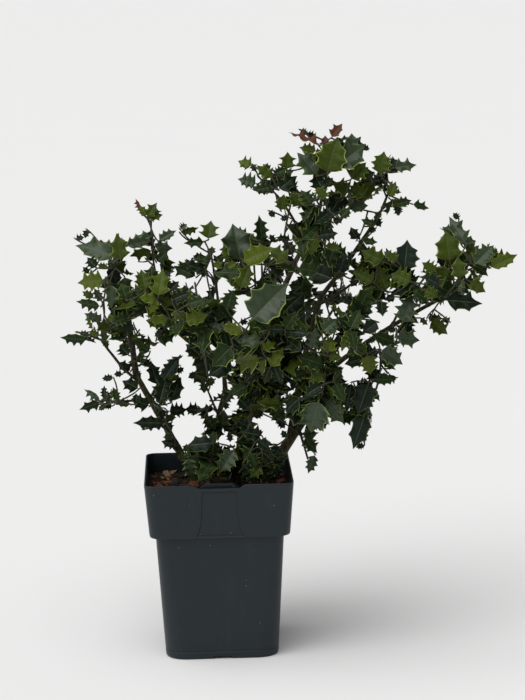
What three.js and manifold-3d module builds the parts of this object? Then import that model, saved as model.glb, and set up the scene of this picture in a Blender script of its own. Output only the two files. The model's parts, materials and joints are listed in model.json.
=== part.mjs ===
// A young many-stemmed holly in a square nursery pot.
//
// Frame: millimetres, +Z up. The origin is the centre of the pot's underside, and the pot's
// labelled face looks along -Y. Headings are degrees about +Z from +X, rises are degrees
// above the level.
//
// Stems stand on the soil, boughs spring from stems or from other boughs, and each mass of
// leaves springs from the tip of its bough or from the side of a stem.

import * as THREE from 'three';
import { mergeVertices } from 'three/addons/utils/BufferGeometryUtils.js';
import Module from 'manifold-3d';

const wasm = await Module();
wasm.setup();

// ---------------------------------------------------------------------------
// Driving dimensions
// ---------------------------------------------------------------------------

const GAP = 0.3;                 // air between neighbouring solids

const POT = {
  height: 186,
  rimWidth: 150,
  collarHeight: 55.7,
  collarFootWidth: 141.6,
  bodyTopWidth: 129.6,
  baseWidth: 115.3,
  wall: 1.8,
  floor: 5,
  rimCorner: 10,                 // corner radii of the square section
  ledgeCorner: 13,
  baseCorner: 21,
  edge: 1.5,                     // chamfer round the underside
  ledgeDrop: 3,                  // height of the slope under the collar
  cornerSegments: 3,
};

const LABEL = {                  // label holder in the middle of the front and back faces
  recessDepth: 1.2,
  recessTop: 178.5,
  recessTopHalf: 17.2,
  recessWaist: 146,
  recessWaistHalf: 18.6,
  recessFlareHalf: 24.5,
  padHalf: 25,
  padThickness: 1.4,
  notchHalf: 26.4,
  notchFloorHalf: 20.4,
  notchDepth: 3.5,
  tongueSlot: 3.5,
  tongueThickness: 1.3,
  tongueTopHalf: 14,
  tongueHalf: 20,
  tongueShoulder: 181,
  tongueFoot: 167.5,
};

const DRAIN = { width: 17, height: 4, depth: 6, slotWidth: 3.4, slotLength: 15, slotOffset: 32 };

const SOIL_LEVEL = 165;

// Air that foliage leaves on each side of the pot's outer face.
const POT_MARGIN = { outside: 1, inside: 9.5 };

const STEM_SIDES = 8;
const BOUGH_SIDES = 5;
const TWIG_SIDES = 3;
const STEM_STEPS = 6;
const BOUGH_STEPS = 4;
const FLARE_LENGTH = 9;          // how fast the flare of a stem's foot fades
const STEM_OVERRUN = 8;          // what a stem runs on at both ends, to be cut off flat

// Each stem: where it stands on the soil, the way it leans, and its thickness.
// side and lift bow its middle to its left and upwards, flare widens its foot.
const STEMS = {
  stem_left: {
    foot: [-24, 44], heading: -151, rise: 61, length: 137,
    side: 0, lift: 0, radius: [4.4, 2.7], flare: 2.2,
  },
  stem_rear_left: {
    foot: [-17, 52], heading: 12, rise: 73, length: 95,
    side: -5, lift: 0, radius: [3.8, 2.6], flare: 1.8,
  },
  stem_centre: {
    foot: [17, 4], heading: -6, rise: 81, length: 121,
    side: 2, lift: -1, radius: [4.8, 3.4], flare: 2.4,
  },
  stem_right: {
    foot: [46, 31], heading: 6, rise: 54, length: 85,
    side: 4, lift: -3, radius: [6.4, 4.4], flare: 3.0,
  },
  stem_back: {
    foot: [27, 60], heading: 53, rise: 75, length: 150,
    side: 0, lift: 6, radius: [4.0, 2.6], flare: 2.0,
  },
};

// Each bough springs from a limb, at a fraction of the limb's length.
const BOUGHS = {
  bough_left_leader: {
    on: 'stem_left', at: 1, heading: -149, rise: 82, length: 84,
    side: 0, lift: 3, radius: [2.5, 1.7],
  },
  bough_left_side: {
    on: 'stem_left', at: 0.9, heading: -147, rise: 48, length: 69,
    side: 0, lift: -4, radius: [1.7, 1.2],
  },
  bough_left_low: {
    on: 'stem_left', at: 0.72, heading: -152, rise: 8, length: 41,
    side: 0, lift: 2, radius: [1.5, 1.1],
  },
  bough_inner_left: {
    on: 'stem_centre', at: 0.8, heading: -159, rise: 44, length: 108,
    side: 0, lift: 2, radius: [2.9, 1.9],
  },
  bough_left_spire: {
    on: 'bough_inner_left', at: 0.72, heading: 132, rise: 45, length: 73,
    side: 0, lift: 5, radius: [1.7, 1.2],
  },
  bough_front_left: {
    on: 'bough_inner_left', at: 0.3, heading: -109, rise: 37, length: 83,
    side: 0, lift: -4, radius: [1.8, 1.3],
  },
  bough_rear_left: {
    on: 'stem_rear_left', at: 1, heading: -114, rise: 82, length: 98,
    side: 0, lift: 4, radius: [2.4, 1.6],
  },
  bough_centre: {
    on: 'stem_centre', at: 1, heading: 0, rise: 66, length: 173,
    side: 0, lift: 6, radius: [3.3, 2.2],
  },
  bough_centre_front: {
    on: 'bough_centre', at: 0.1, heading: -91, rise: 35, length: 78,
    side: 0, lift: -4, radius: [2.0, 1.3],
  },
  bough_upper_left: {
    on: 'bough_centre', at: 0.82, heading: 160, rise: 58, length: 55,
    side: 0, lift: 3, radius: [1.5, 1.1],
  },
  bough_upper_front: {
    on: 'bough_centre', at: 0.68, heading: -83, rise: 33, length: 55,
    side: 0, lift: -3, radius: [1.7, 1.2],
  },
  bough_upper_back: {
    on: 'bough_centre', at: 0.6, heading: 93, rise: 25, length: 67,
    side: 0, lift: -3, radius: [1.8, 1.2],
  },
  bough_right_leader: {
    on: 'stem_right', at: 0.6, heading: -34, rise: 75, length: 162,
    side: -3, lift: 8, radius: [3.4, 2.6],
  },
  bough_upper_right: {
    on: 'bough_right_leader', at: 1, heading: -4, rise: 54, length: 101,
    side: 0, lift: -2, radius: [2.5, 1.7],
  },
  bough_mid_right: {
    on: 'bough_right_leader', at: 0.93, heading: -42, rise: 30, length: 54,
    side: 0, lift: -1, radius: [1.6, 1.2],
  },
  bough_far_right: {
    on: 'bough_right_leader', at: 0.28, heading: -10, rise: 34, length: 190,
    side: -2, lift: 7, radius: [3.2, 1.7],
  },
  bough_right_up: {
    on: 'bough_far_right', at: 0.62, heading: -75, rise: 37, length: 45,
    side: 0, lift: 0, radius: [1.5, 1.1],
  },
  bough_right_low: {
    on: 'bough_far_right', at: 0.34, heading: -53, rise: 11, length: 52,
    side: 0, lift: 3, radius: [1.6, 1.2],
  },
  bough_front_right: {
    on: 'bough_right_leader', at: 0.55, heading: -79, rise: 21, length: 88,
    side: 0, lift: -3, radius: [1.9, 1.3],
  },
  bough_low_right: {
    on: 'stem_right', at: 0.7, heading: -77, rise: 40, length: 91,
    side: 0, lift: 3, radius: [1.7, 1.2],
  },
  bough_back_mid_left: {
    on: 'stem_back', at: 0.6, heading: 145, rise: 45, length: 82,
    side: 0, lift: 5, radius: [2.0, 1.4],
  },
  bough_back_right: {
    on: 'stem_back', at: 0.72, heading: 20, rise: 28, length: 92,
    side: 0, lift: 5, radius: [2.1, 1.4],
  },
};

// Each mass of leaves runs from a limb to its furthest tip, and keeps within its reach of
// the line between them.
const MASSES = {
  leaves_left_tip: { on: 'bough_left_side', at: 1, heading: -172, rise: 21, length: 48, reach: 31 },
  leaves_left_low: { on: 'bough_left_low', at: 1, heading: -176, rise: -4, length: 38, reach: 26 },
  leaves_left_foot: { on: 'stem_left', at: 0.52, heading: -160, rise: -8, length: 44, reach: 30 },
  leaves_left_crown: { on: 'bough_left_leader', at: 1, heading: -171, rise: 71, length: 72, reach: 48 },
  leaves_left_fork: { on: 'stem_left', at: 0.76, heading: 17, rise: 58, length: 66, reach: 30 },
  leaves_inner_left: { on: 'bough_inner_left', at: 1, heading: -154, rise: 60, length: 72, reach: 40 },
  leaves_left_spire: { on: 'bough_left_spire', at: 1, heading: 153, rise: 84, length: 96, reach: 29 },
  leaves_front_left: { on: 'bough_front_left', at: 1, heading: -116, rise: 65, length: 77, reach: 40 },
  leaves_rear_left: { on: 'bough_rear_left', at: 1, heading: -153, rise: 82, length: 81, reach: 42 },
  leaves_low_left: { on: 'stem_rear_left', at: 0.7, heading: -136, rise: 63, length: 57, reach: 29 },
  leaves_low_front: { on: 'stem_centre', at: 0.26, heading: -146, rise: 2, length: 60, reach: 34 },
  leaves_low_centre: { on: 'stem_centre', at: 0.42, heading: -48, rise: -10, length: 60, reach: 35 },
  leaves_centre_mid: { on: 'stem_centre', at: 0.88, heading: -63, rise: 34, length: 134, reach: 41 },
  leaves_centre_front: { on: 'bough_centre_front', at: 1, heading: -110, rise: 83, length: 92, reach: 43 },
  leaves_upper_left: { on: 'bough_upper_left', at: 1, heading: 174, rise: 46, length: 53, reach: 36 },
  leaves_top: { on: 'bough_centre', at: 1, heading: -11, rise: 79, length: 112, reach: 48 },
  leaves_upper_front: { on: 'bough_upper_front', at: 1, heading: -24, rise: 44, length: 62, reach: 40 },
  leaves_upper_back: { on: 'bough_upper_back', at: 1, heading: 60, rise: 62, length: 82, reach: 43 },
  leaves_upper_right: { on: 'bough_upper_right', at: 1, heading: 4, rise: 68, length: 69, reach: 45 },
  leaves_mid_right: { on: 'bough_mid_right', at: 1, heading: -10, rise: 36, length: 76, reach: 41 },
  leaves_right_tip: { on: 'bough_far_right', at: 1, heading: -4, rise: 60, length: 92, reach: 49 },
  leaves_right_up: { on: 'bough_right_up', at: 1, heading: -23, rise: 52, length: 64, reach: 38 },
  leaves_right_low: { on: 'bough_right_low', at: 1, heading: 153, rise: -73, length: 106, reach: 40 },
  leaves_front_right: { on: 'bough_front_right', at: 1, heading: -47, rise: 33, length: 75, reach: 43 },
  leaves_low_right: { on: 'bough_low_right', at: 1, heading: -75, rise: 5, length: 65, reach: 40 },
  leaves_hanging: { on: 'stem_right', at: 0.8, heading: -63, rise: -59, length: 51, reach: 24 },
  leaves_back_left: { on: 'stem_left', at: 0.95, heading: 100, rise: 52, length: 132, reach: 45 },
  leaves_back_mid_left: { on: 'bough_back_mid_left', at: 1, heading: 120, rise: 60, length: 84, reach: 47 },
  leaves_back_centre: { on: 'stem_back', at: 1, heading: 84, rise: 72, length: 111, reach: 49 },
  leaves_back_right: { on: 'bough_back_right', at: 1, heading: 48, rise: 55, length: 86, reach: 47 },
  leaves_back_low: { on: 'stem_back', at: 0.42, heading: 81, rise: 14, length: 92, reach: 43 },
};

// One rule grows every mass.
const GROWTH = {
  seed: 41,
  turn: 137.5,                   // degrees from one leaf or twig to the next round its stem
  tipInset: 0.85,                // of the reach, from the end of a mass's line to its tip
  leastCore: 0.4,                // of a mass's length, the least its line takes up
  stemOverrun: 4,                // what a mass's stem runs on past its line
  twigSpacing: 16,
  twigAngle: 52,
  twigAngleSpread: 16,
  twigShare: 0.36,               // length of a side twig as a share of the reach
  twigSpread: [0.8, 1.2],        // shortest and longest side twig, of that length
  twigStart: 0.15,               // bare share of a mass's stem
  stemLeafStart: 0.45,           // where leaves start on a mass's stem, and on its side twigs
  twigLeafStart: 0.35,
  twigRadius: [1.6, 1.1],
  sideTwigRadius: [1.3, 0.9],
  leafSpacing: 9.6,
  leafAngles: [58, 42, 74],      // tried in turn until a leaf fits
  leafTurns: [0, 55, -55, 110, -110, 165],
  leafSizes: [1, 0.84],
  leafEnd: 2,                    // from a twig's tip back to its last leaf but one
  lastLeafEnd: 5,
  leafBase: 21,                  // leaf length is leafBase + leafShare * reach
  leafShare: 0.5,
  leafSpread: [0.86, 1.14],      // shortest and longest leaf, of that length
  leafRoll: 0.75,                // most a leaf rolls about its midrib, in radians
  leafDroop: 0.16,               // of the leaf's length, how far its tip hangs
  faceForward: 0.75,             // how far a leaf's face turns towards the twig's tip
  faceUp: 0.5,                   // and upwards
  leafWidth: 0.62,               // of the leaf's length
  leafThickness: 0.03,           // of the leaf's length, at the midrib
  rootDepth: 0.1,                // how far a leaf's root runs past the middle of its twig
  cellMargin: 0.03,              // of the reach, kept between neighbouring masses
  soilClearance: 2.5,
};

// Half of a leaf's spiny outline, from root to tip: share of length, share of half width,
// and lift of the margin as a share of length. The other half mirrors it.
const LEAF_OUTLINE = [
  [0.3, 0.8, 0.05],
  [0.46, 0.54, 0.00],
  [0.64, 1.00, 0.06],
];
const LEAF_MID = 0.4;            // where the blade is thickest

const COLOURS = {
  pot: 0x2f3a3d,
  soil: 0x3a2a20,
  bark: 0x4a3d2e,
  leaf: 0x33491f,
};

// ---------------------------------------------------------------------------
// Solids
// ---------------------------------------------------------------------------

// A closed geometry as a solid that can be joined and cut.
function toSolid(geometry) {
  const bare = geometry.index ? geometry.toNonIndexed() : geometry.clone();
  bare.deleteAttribute('normal');
  bare.deleteAttribute('uv');
  const merged = mergeVertices(bare, 1e-4);
  const index = merged.index.array;
  const kept = [];
  for (let i = 0; i < index.length; i += 3) {
    const [a, b, c] = [index[i], index[i + 1], index[i + 2]];
    if (a !== b && b !== c && c !== a) kept.push(a, b, c);
  }
  const mesh = new wasm.Mesh({
    numProp: 3,
    vertProperties: new Float32Array(merged.attributes.position.array),
    triVerts: new Uint32Array(kept),
  });
  const solid = new wasm.Manifold(mesh);
  return solid.volume() < 0 ? toSolid(flipped(bare)) : solid;
}

function flipped(geometry) {
  const turned = geometry.clone();
  const spots = turned.attributes.position.array;
  for (let i = 0; i < spots.length; i += 9) {
    for (let k = 0; k < 3; k += 1) {
      [spots[i + 3 + k], spots[i + 6 + k]] = [spots[i + 6 + k], spots[i + 3 + k]];
    }
  }
  return turned;
}

// The largest connected piece, without loose scraps or sealed hollows.
function largestPiece(solid) {
  const pieces = solid.decompose();
  return pieces.reduce((best, piece) => (piece.volume() > best.volume() ? piece : best));
}

function toGeometry(solid) {
  const { numProp, vertProperties, triVerts } = solid.getMesh();
  const position = new Float32Array((vertProperties.length / numProp) * 3);
  for (let i = 0; i < position.length / 3; i += 1) {
    for (let k = 0; k < 3; k += 1) position[3 * i + k] = vertProperties[numProp * i + k];
  }
  const geometry = new THREE.BufferGeometry();
  geometry.setAttribute('position', new THREE.BufferAttribute(position, 3));
  geometry.setIndex(new THREE.BufferAttribute(new Uint32Array(triVerts), 1));
  geometry.computeVertexNormals();
  return geometry;
}

// Moves every vertex of a geometry to where the rule puts it.
function reshape(geometry, rule) {
  const spots = geometry.attributes.position;
  const spot = new THREE.Vector3();
  for (let i = 0; i < spots.count; i += 1) {
    const moved = rule(spot.fromBufferAttribute(spots, i));
    spots.setXYZ(i, moved.x, moved.y, moved.z);
  }
  return geometry;
}

const unionOf = (solids) => solids.slice(1).reduce((sum, solid) => sum.add(solid), solids[0]);

// ---------------------------------------------------------------------------
// Pot and soil
// ---------------------------------------------------------------------------

// A block of rounded square section. Each level is [height, half width, corner radius].
function squareLoft(levels) {
  const outline = new THREE.Shape();
  outline.moveTo(1, 0.5);
  outline.absarc(0.5, 0.5, 0.5, 0, Math.PI / 2);
  outline.absarc(-0.5, 0.5, 0.5, Math.PI / 2, Math.PI);
  outline.absarc(-0.5, -0.5, 0.5, Math.PI, 1.5 * Math.PI);
  outline.absarc(0.5, -0.5, 0.5, 1.5 * Math.PI, 2 * Math.PI);
  const steps = levels.length - 1;
  const block = new THREE.ExtrudeGeometry(outline, {
    depth: steps,
    steps,
    bevelEnabled: false,
    curveSegments: POT.cornerSegments,
  });
  return toSolid(reshape(block, ({ x, y, z }) => {
    const [height, half, corner] = levels[Math.round(z)];
    const place = (value) => {
      const side = Math.sign(value);
      return side * (half - corner) + 2 * corner * (value - 0.5 * side);
    };
    return { x: place(x), y: place(y), z: height };
  }));
}

const collarFoot = POT.height - POT.collarHeight;

// Half width of the collar's outer face at a height.
function collarHalf(height) {
  const share = (height - collarFoot) / POT.collarHeight;
  return THREE.MathUtils.lerp(POT.collarFootWidth, POT.rimWidth, share) / 2;
}

function bodyHalf(height) {
  return THREE.MathUtils.lerp(POT.baseWidth, POT.bodyTopWidth, height / collarFoot) / 2;
}

// Corner radius of the outer face of the collar, and of the body below it.
function collarCorner(height) {
  return THREE.MathUtils.lerp(POT.ledgeCorner, POT.rimCorner, (height - collarFoot) / POT.collarHeight);
}

function bodyCorner(height) {
  return THREE.MathUtils.lerp(POT.baseCorner, POT.ledgeCorner, height / collarFoot);
}

// Levels of a loft that follows the outer face, drawn in by an inset.
const collarLevel = (height, inset, place = height) => (
  [place, collarHalf(height) - inset, collarCorner(height) - inset]
);
const bodyLevel = (height, inset, place = height) => (
  [place, bodyHalf(height) - inset, bodyCorner(height) - inset]
);

// The space inside the walls, from the floor up to a level, drawn in by a clearance.
function potInside(top, clearance) {
  const inset = POT.wall + clearance;
  const ledge = collarFoot + POT.wall;
  const ledgeTop = ledge + POT.ledgeDrop;
  return squareLoft([
    bodyLevel(POT.floor, inset, POT.floor + clearance),
    bodyLevel(collarFoot, inset, ledge + clearance),
    collarLevel(ledgeTop, inset, ledgeTop + clearance),
    collarLevel(top, inset),
  ]);
}

function potOutside() {
  return squareLoft([
    bodyLevel(0, POT.edge),
    bodyLevel(POT.edge, 0),
    bodyLevel(collarFoot, 0),
    collarLevel(collarFoot, POT.edge, collarFoot + 0.5),
    collarLevel(collarFoot + POT.ledgeDrop, 0),
    collarLevel(POT.height, 0),
  ]);
}

// A plate that follows the front face of the collar. Its outline is drawn as pairs of
// height and half width, and it lies between two depths behind the face.
function collarPlate(pairs, depths) {
  const outline = new THREE.Shape();
  const right = pairs.map(([height, half]) => [half, height]);
  const left = pairs.map(([height, half]) => [-half, height]).reverse();
  [...right, ...left].forEach(([x, y], i) => (i ? outline.lineTo(x, y) : outline.moveTo(x, y)));
  const plate = new THREE.ExtrudeGeometry(outline, { depth: 1, bevelEnabled: false });
  return toSolid(reshape(plate, ({ x, y, z }) => {
    const depth = THREE.MathUtils.lerp(depths[0], depths[1], z);
    return { x, y: depth - collarHalf(y), z: y };
  }));
}

const halfTurn = (solid) => solid.rotate([0, 0, 180]);

// What the label holder adds inside the wall, drawn out by a clearance.
function labelHolder(clearance) {
  const face = POT.wall + LABEL.padThickness;
  const tongueFront = face + LABEL.tongueSlot;
  const tongueBack = tongueFront + LABEL.tongueThickness;
  const pad = collarPlate([
    [collarFoot + 8 - clearance, LABEL.padHalf + clearance],
    [POT.height, LABEL.padHalf + clearance],
  ], [0.2, face + clearance]);
  const ledge = collarPlate([
    [LABEL.tongueFoot - clearance, LABEL.tongueHalf + clearance],
    [LABEL.tongueFoot + 1.5, LABEL.tongueHalf + clearance],
  ], [POT.wall, tongueBack + clearance]);
  const tongue = collarPlate([
    [LABEL.tongueFoot - clearance, LABEL.tongueHalf + clearance],
    [LABEL.tongueShoulder, LABEL.tongueHalf + clearance],
    [POT.height, LABEL.tongueTopHalf + clearance],
  ], [tongueFront - clearance, tongueBack + clearance]);
  const front = unionOf([pad, ledge, tongue]);
  return front.add(halfTurn(front));
}

// What the label holder takes away: the recessed panel and the notch in the rim.
function labelCuts() {
  const through = POT.wall + LABEL.padThickness + 0.4;
  const recess = collarPlate([
    [collarFoot - 1, LABEL.recessFlareHalf],
    [collarFoot + 4, LABEL.recessFlareHalf - 2.5],
    [LABEL.recessWaist, LABEL.recessWaistHalf],
    [LABEL.recessTop, LABEL.recessTopHalf],
  ], [-2, LABEL.recessDepth]);
  const notch = collarPlate([
    [POT.height - LABEL.notchDepth, LABEL.notchFloorHalf],
    [POT.height, LABEL.notchHalf],
    [POT.height + 1, LABEL.notchHalf],
  ], [-2, through]);
  const front = recess.add(notch);
  return front.add(halfTurn(front));
}

function boxSolid(width, depth, height, x, y, z) {
  return toSolid(new THREE.BoxGeometry(width, depth, height).translate(x, y, z));
}

// Drain notches in the foot and slots through the floor.
function drainCuts() {
  const face = POT.baseWidth / 2;
  const notch = boxSolid(DRAIN.width, 2 * DRAIN.depth, 2 * DRAIN.height, 0, -face, 0);
  const offset = DRAIN.slotOffset;
  const slots = [-1, 1].map((side) => (
    boxSolid(DRAIN.slotWidth, DRAIN.slotLength, 4 * POT.floor, side * offset, -offset, 0)
  ));
  const quarter = unionOf([notch, ...slots]);
  return unionOf([0, 1, 2, 3].map((i) => quarter.rotate([0, 0, 90 * i])));
}

function makePot() {
  const shell = potOutside().subtract(potInside(POT.height + 1, 0));
  return shell.add(labelHolder(0)).subtract(labelCuts()).subtract(drainCuts());
}

function makeSoil() {
  return potInside(SOIL_LEVEL, GAP).subtract(labelHolder(GAP));
}

// ---------------------------------------------------------------------------
// Limbs
// ---------------------------------------------------------------------------

const UP = new THREE.Vector3(0, 0, 1);

function direction(heading, rise) {
  const turn = THREE.MathUtils.degToRad(heading);
  const tilt = THREE.MathUtils.degToRad(rise);
  const level = Math.cos(tilt);
  return new THREE.Vector3(level * Math.cos(turn), level * Math.sin(turn), Math.sin(tilt));
}

// A direction square to another: a level one, unless the other is near upright.
function levelAcross(along) {
  const steep = Math.abs(along.z) > 0.95;
  const aside = steep ? new THREE.Vector3(1, 0, 0) : UP;
  return new THREE.Vector3().crossVectors(along, aside).normalize();
}

// The curve from a start along a heading and rise, bowed sideways and upwards.
function limbCurve(start, { heading, rise, length, side, lift }) {
  const end = start.clone().addScaledVector(direction(heading, rise), length);
  const bow = direction(heading + 90, 0).multiplyScalar(2 * side).addScaledVector(UP, 2 * lift);
  const middle = start.clone().add(end).multiplyScalar(0.5).add(bow);
  return new THREE.QuadraticBezierCurve3(start, middle, end);
}

// A closed tapering tube along a curve. radiusAt gives its radius at a share of the curve,
// and overrun lengthens it straight on at both ends.
function taperedTube(curve, sides, steps, radiusAt, overrun = 0) {
  const tube = new THREE.CylinderGeometry(1, 1, 1, sides, steps);
  const chord = curve.getPoint(1).sub(curve.getPoint(0)).normalize();
  const level = levelAcross(chord);
  return toSolid(reshape(tube, ({ x, y, z }) => {
    const share = THREE.MathUtils.clamp(y + 0.5, 0, 1);
    const along = curve.getTangent(share);
    const over = new THREE.Vector3().crossVectors(level, along).normalize();
    const across = new THREE.Vector3().crossVectors(along, over);
    const ends = share === 0 ? -overrun : overrun * (share === 1);
    const radius = radiusAt(share);
    return curve.getPoint(share)
      .addScaledVector(along, ends)
      .addScaledVector(across, x * radius)
      .addScaledVector(over, z * radius);
  }));
}

const limbs = {};

function plantLimb(name, start, plan) {
  const curve = limbCurve(start, plan);
  const [thick, thin] = plan.radius;
  const flare = plan.flare || 0;
  const fade = plan.length / FLARE_LENGTH;
  const radiusAt = (share) => (
    THREE.MathUtils.lerp(thick, thin, share) + flare * Math.exp(-share * fade)
  );
  limbs[name] = { curve, radiusAt, isStem: name in STEMS };
}

for (const [name, plan] of Object.entries(STEMS)) {
  plantLimb(name, new THREE.Vector3(...plan.foot, SOIL_LEVEL), plan);
}
for (const [name, plan] of Object.entries(BOUGHS)) {
  plantLimb(name, limbs[plan.on].curve.getPoint(plan.at), plan);
}

// Everything below the ground level, with the stems' feet standing a gap above it.
const belowGround = boxSolid(1000, 1000, 200, 0, 0, SOIL_LEVEL + GAP - 100);

function limbSolid({ curve, radiusAt, isStem }, clearance) {
  const sides = isStem ? STEM_SIDES : BOUGH_SIDES;
  const steps = isStem ? STEM_STEPS : BOUGH_STEPS;
  const overrun = isStem ? STEM_OVERRUN : clearance;
  // the flats of a many-sided tube lie inside its round, so the clearance is measured there
  const outset = clearance / Math.cos(Math.PI / sides);
  const tube = taperedTube(curve, sides, steps, (share) => radiusAt(share) + outset, overrun);
  return isStem ? trimmedStem(tube, curve, clearance) : tube;
}

// A stem runs on below the ground to be cut off flat there, and is cut square at its tip.
function trimmedStem(tube, curve, clearance) {
  const along = curve.getTangent(1);
  const tip = curve.getPoint(1).addScaledVector(along, clearance);
  const cutter = new THREE.BoxGeometry(60, 60, 60);
  cutter.translate(0, 0, 30);
  cutter.applyQuaternion(new THREE.Quaternion().setFromUnitVectors(UP, along));
  cutter.translate(tip.x, tip.y, tip.z);
  return tube.subtract(toSolid(cutter)).subtract(belowGround);
}

// Each limb is cut clear of every limb planted before it.
function makeLimbs() {
  const solids = {};
  let taken = null;
  for (const [name, limb] of Object.entries(limbs)) {
    const whole = limbSolid(limb, 0);
    solids[name] = taken ? largestPiece(whole.subtract(taken)) : whole;
    const grown = limbSolid(limb, GAP);
    taken = taken ? taken.add(grown) : grown;
  }
  return { solids, keepClear: taken };
}

// ---------------------------------------------------------------------------
// Growth rule
// ---------------------------------------------------------------------------

// A repeatable stream of numbers from 0 to 1.
function randomStream(seed) {
  let state = seed >>> 0;
  return () => {
    state = (state + 0x6d2b79f5) >>> 0;
    let mixed = Math.imul(state ^ (state >>> 15), 1 | state);
    mixed = (mixed + Math.imul(mixed ^ (mixed >>> 7), 61 | mixed)) ^ mixed;
    return ((mixed ^ (mixed >>> 14)) >>> 0) / 4294967296;
  };
}

const cells = Object.entries(MASSES).map(([name, plan]) => {
  const start = limbs[plan.on].curve.getPoint(plan.at);
  const along = direction(plan.heading, plan.rise);
  const inset = GROWTH.tipInset * plan.reach;
  const core = Math.max(plan.length - inset, GROWTH.leastCore * plan.length);
  const end = start.clone().addScaledVector(along, core);
  return { name, start, along, end, core, reach: plan.reach, line: new THREE.Line3(start, end) };
});

const nearest = new THREE.Vector3();

// Distance from a mass's line as a share of its reach.
function depthIn(cell, point) {
  cell.line.closestPointToPoint(point, true, nearest);
  return nearest.distanceTo(point) / cell.reach;
}

// Whether a point is in a mass's own space, and no nearer to another mass.
function isOwn(cell, point) {
  if (point.z < SOIL_LEVEL + GROWTH.soilClearance) return false;
  const own = depthIn(cell, point);
  if (own > 1) return false;
  return cells.every((other) => other === cell || depthIn(other, point) > own + GROWTH.cellMargin);
}

// A direction leaning away from a stem by an angle, turned round it by another.
function branchOff(along, angle, turn) {
  const across = levelAcross(along);
  const lean = THREE.MathUtils.degToRad(angle);
  return along.clone()
    .multiplyScalar(Math.cos(lean))
    .addScaledVector(across.applyAxisAngle(along, THREE.MathUtils.degToRad(turn)), Math.sin(lean))
    .normalize();
}

// Where a leaf's outline, midrib and blade lie. Its face looks up and towards the twig's tip.
function leafFrame(root, along, twigAlong, length, tilt) {
  const facing = twigAlong.clone().multiplyScalar(GROWTH.faceForward).addScaledVector(UP, GROWTH.faceUp);
  const across = new THREE.Vector3().crossVectors(facing, along).normalize();
  const face = new THREE.Vector3().crossVectors(along, across).normalize();
  across.applyAxisAngle(along, tilt);
  face.applyAxisAngle(along, tilt);
  return { root, along, across, face, length };
}

// A point of a leaf from its shares along, across and above the blade, with a drooping tip.
function leafPoint(leaf, share, side, lift) {
  const droop = -GROWTH.leafDroop * share * share;
  return leaf.root.clone()
    .addScaledVector(leaf.along, share * leaf.length)
    .addScaledVector(leaf.across, 0.5 * side * GROWTH.leafWidth * leaf.length)
    .addScaledVector(leaf.face, (lift + droop) * leaf.length);
}

const leafRim = [
  [0, 0, 0],
  ...LEAF_OUTLINE,
  [1, 0, 0],
  ...LEAF_OUTLINE.map(([share, side, lift]) => [share, -side, lift]).reverse(),
];

// Points all over a leaf, close enough together to tell whether it fits.
function leafSamples(leaf) {
  const samples = [];
  for (const [share, side, lift] of leafRim.slice(1)) {
    samples.push(leafPoint(leaf, share, side, lift));
    samples.push(leafPoint(leaf, 0.5 * (share + LEAF_MID), 0.5 * side, 0.5 * lift));
  }
  return samples;
}

// A leaf is a double pyramid whose rim is drawn out to the spiny outline.
function leafSolid(leaf) {
  const count = leafRim.length;
  const half = 0.5 * GROWTH.leafThickness;
  const profile = [new THREE.Vector2(0, 1), new THREE.Vector2(1, 0), new THREE.Vector2(0, -1)];
  const blade = new THREE.LatheGeometry(profile, count);
  const reach = leaf.length + GROWTH.rootDepth;
  return toSolid(reshape(blade, ({ x, y, z }) => {
    if (Math.abs(y) > 0.5) return leafPoint(leaf, LEAF_MID, 0, Math.sign(y) * half);
    const turn = (Math.atan2(x, z) / (2 * Math.PI) + 1) % 1;
    const [share, side, lift] = leafRim[Math.round(turn * count) % count];
    const rooted = share - (share === 0 ? GROWTH.rootDepth / reach : 0);
    return leafPoint(leaf, rooted, side, lift);
  }));
}

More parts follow.
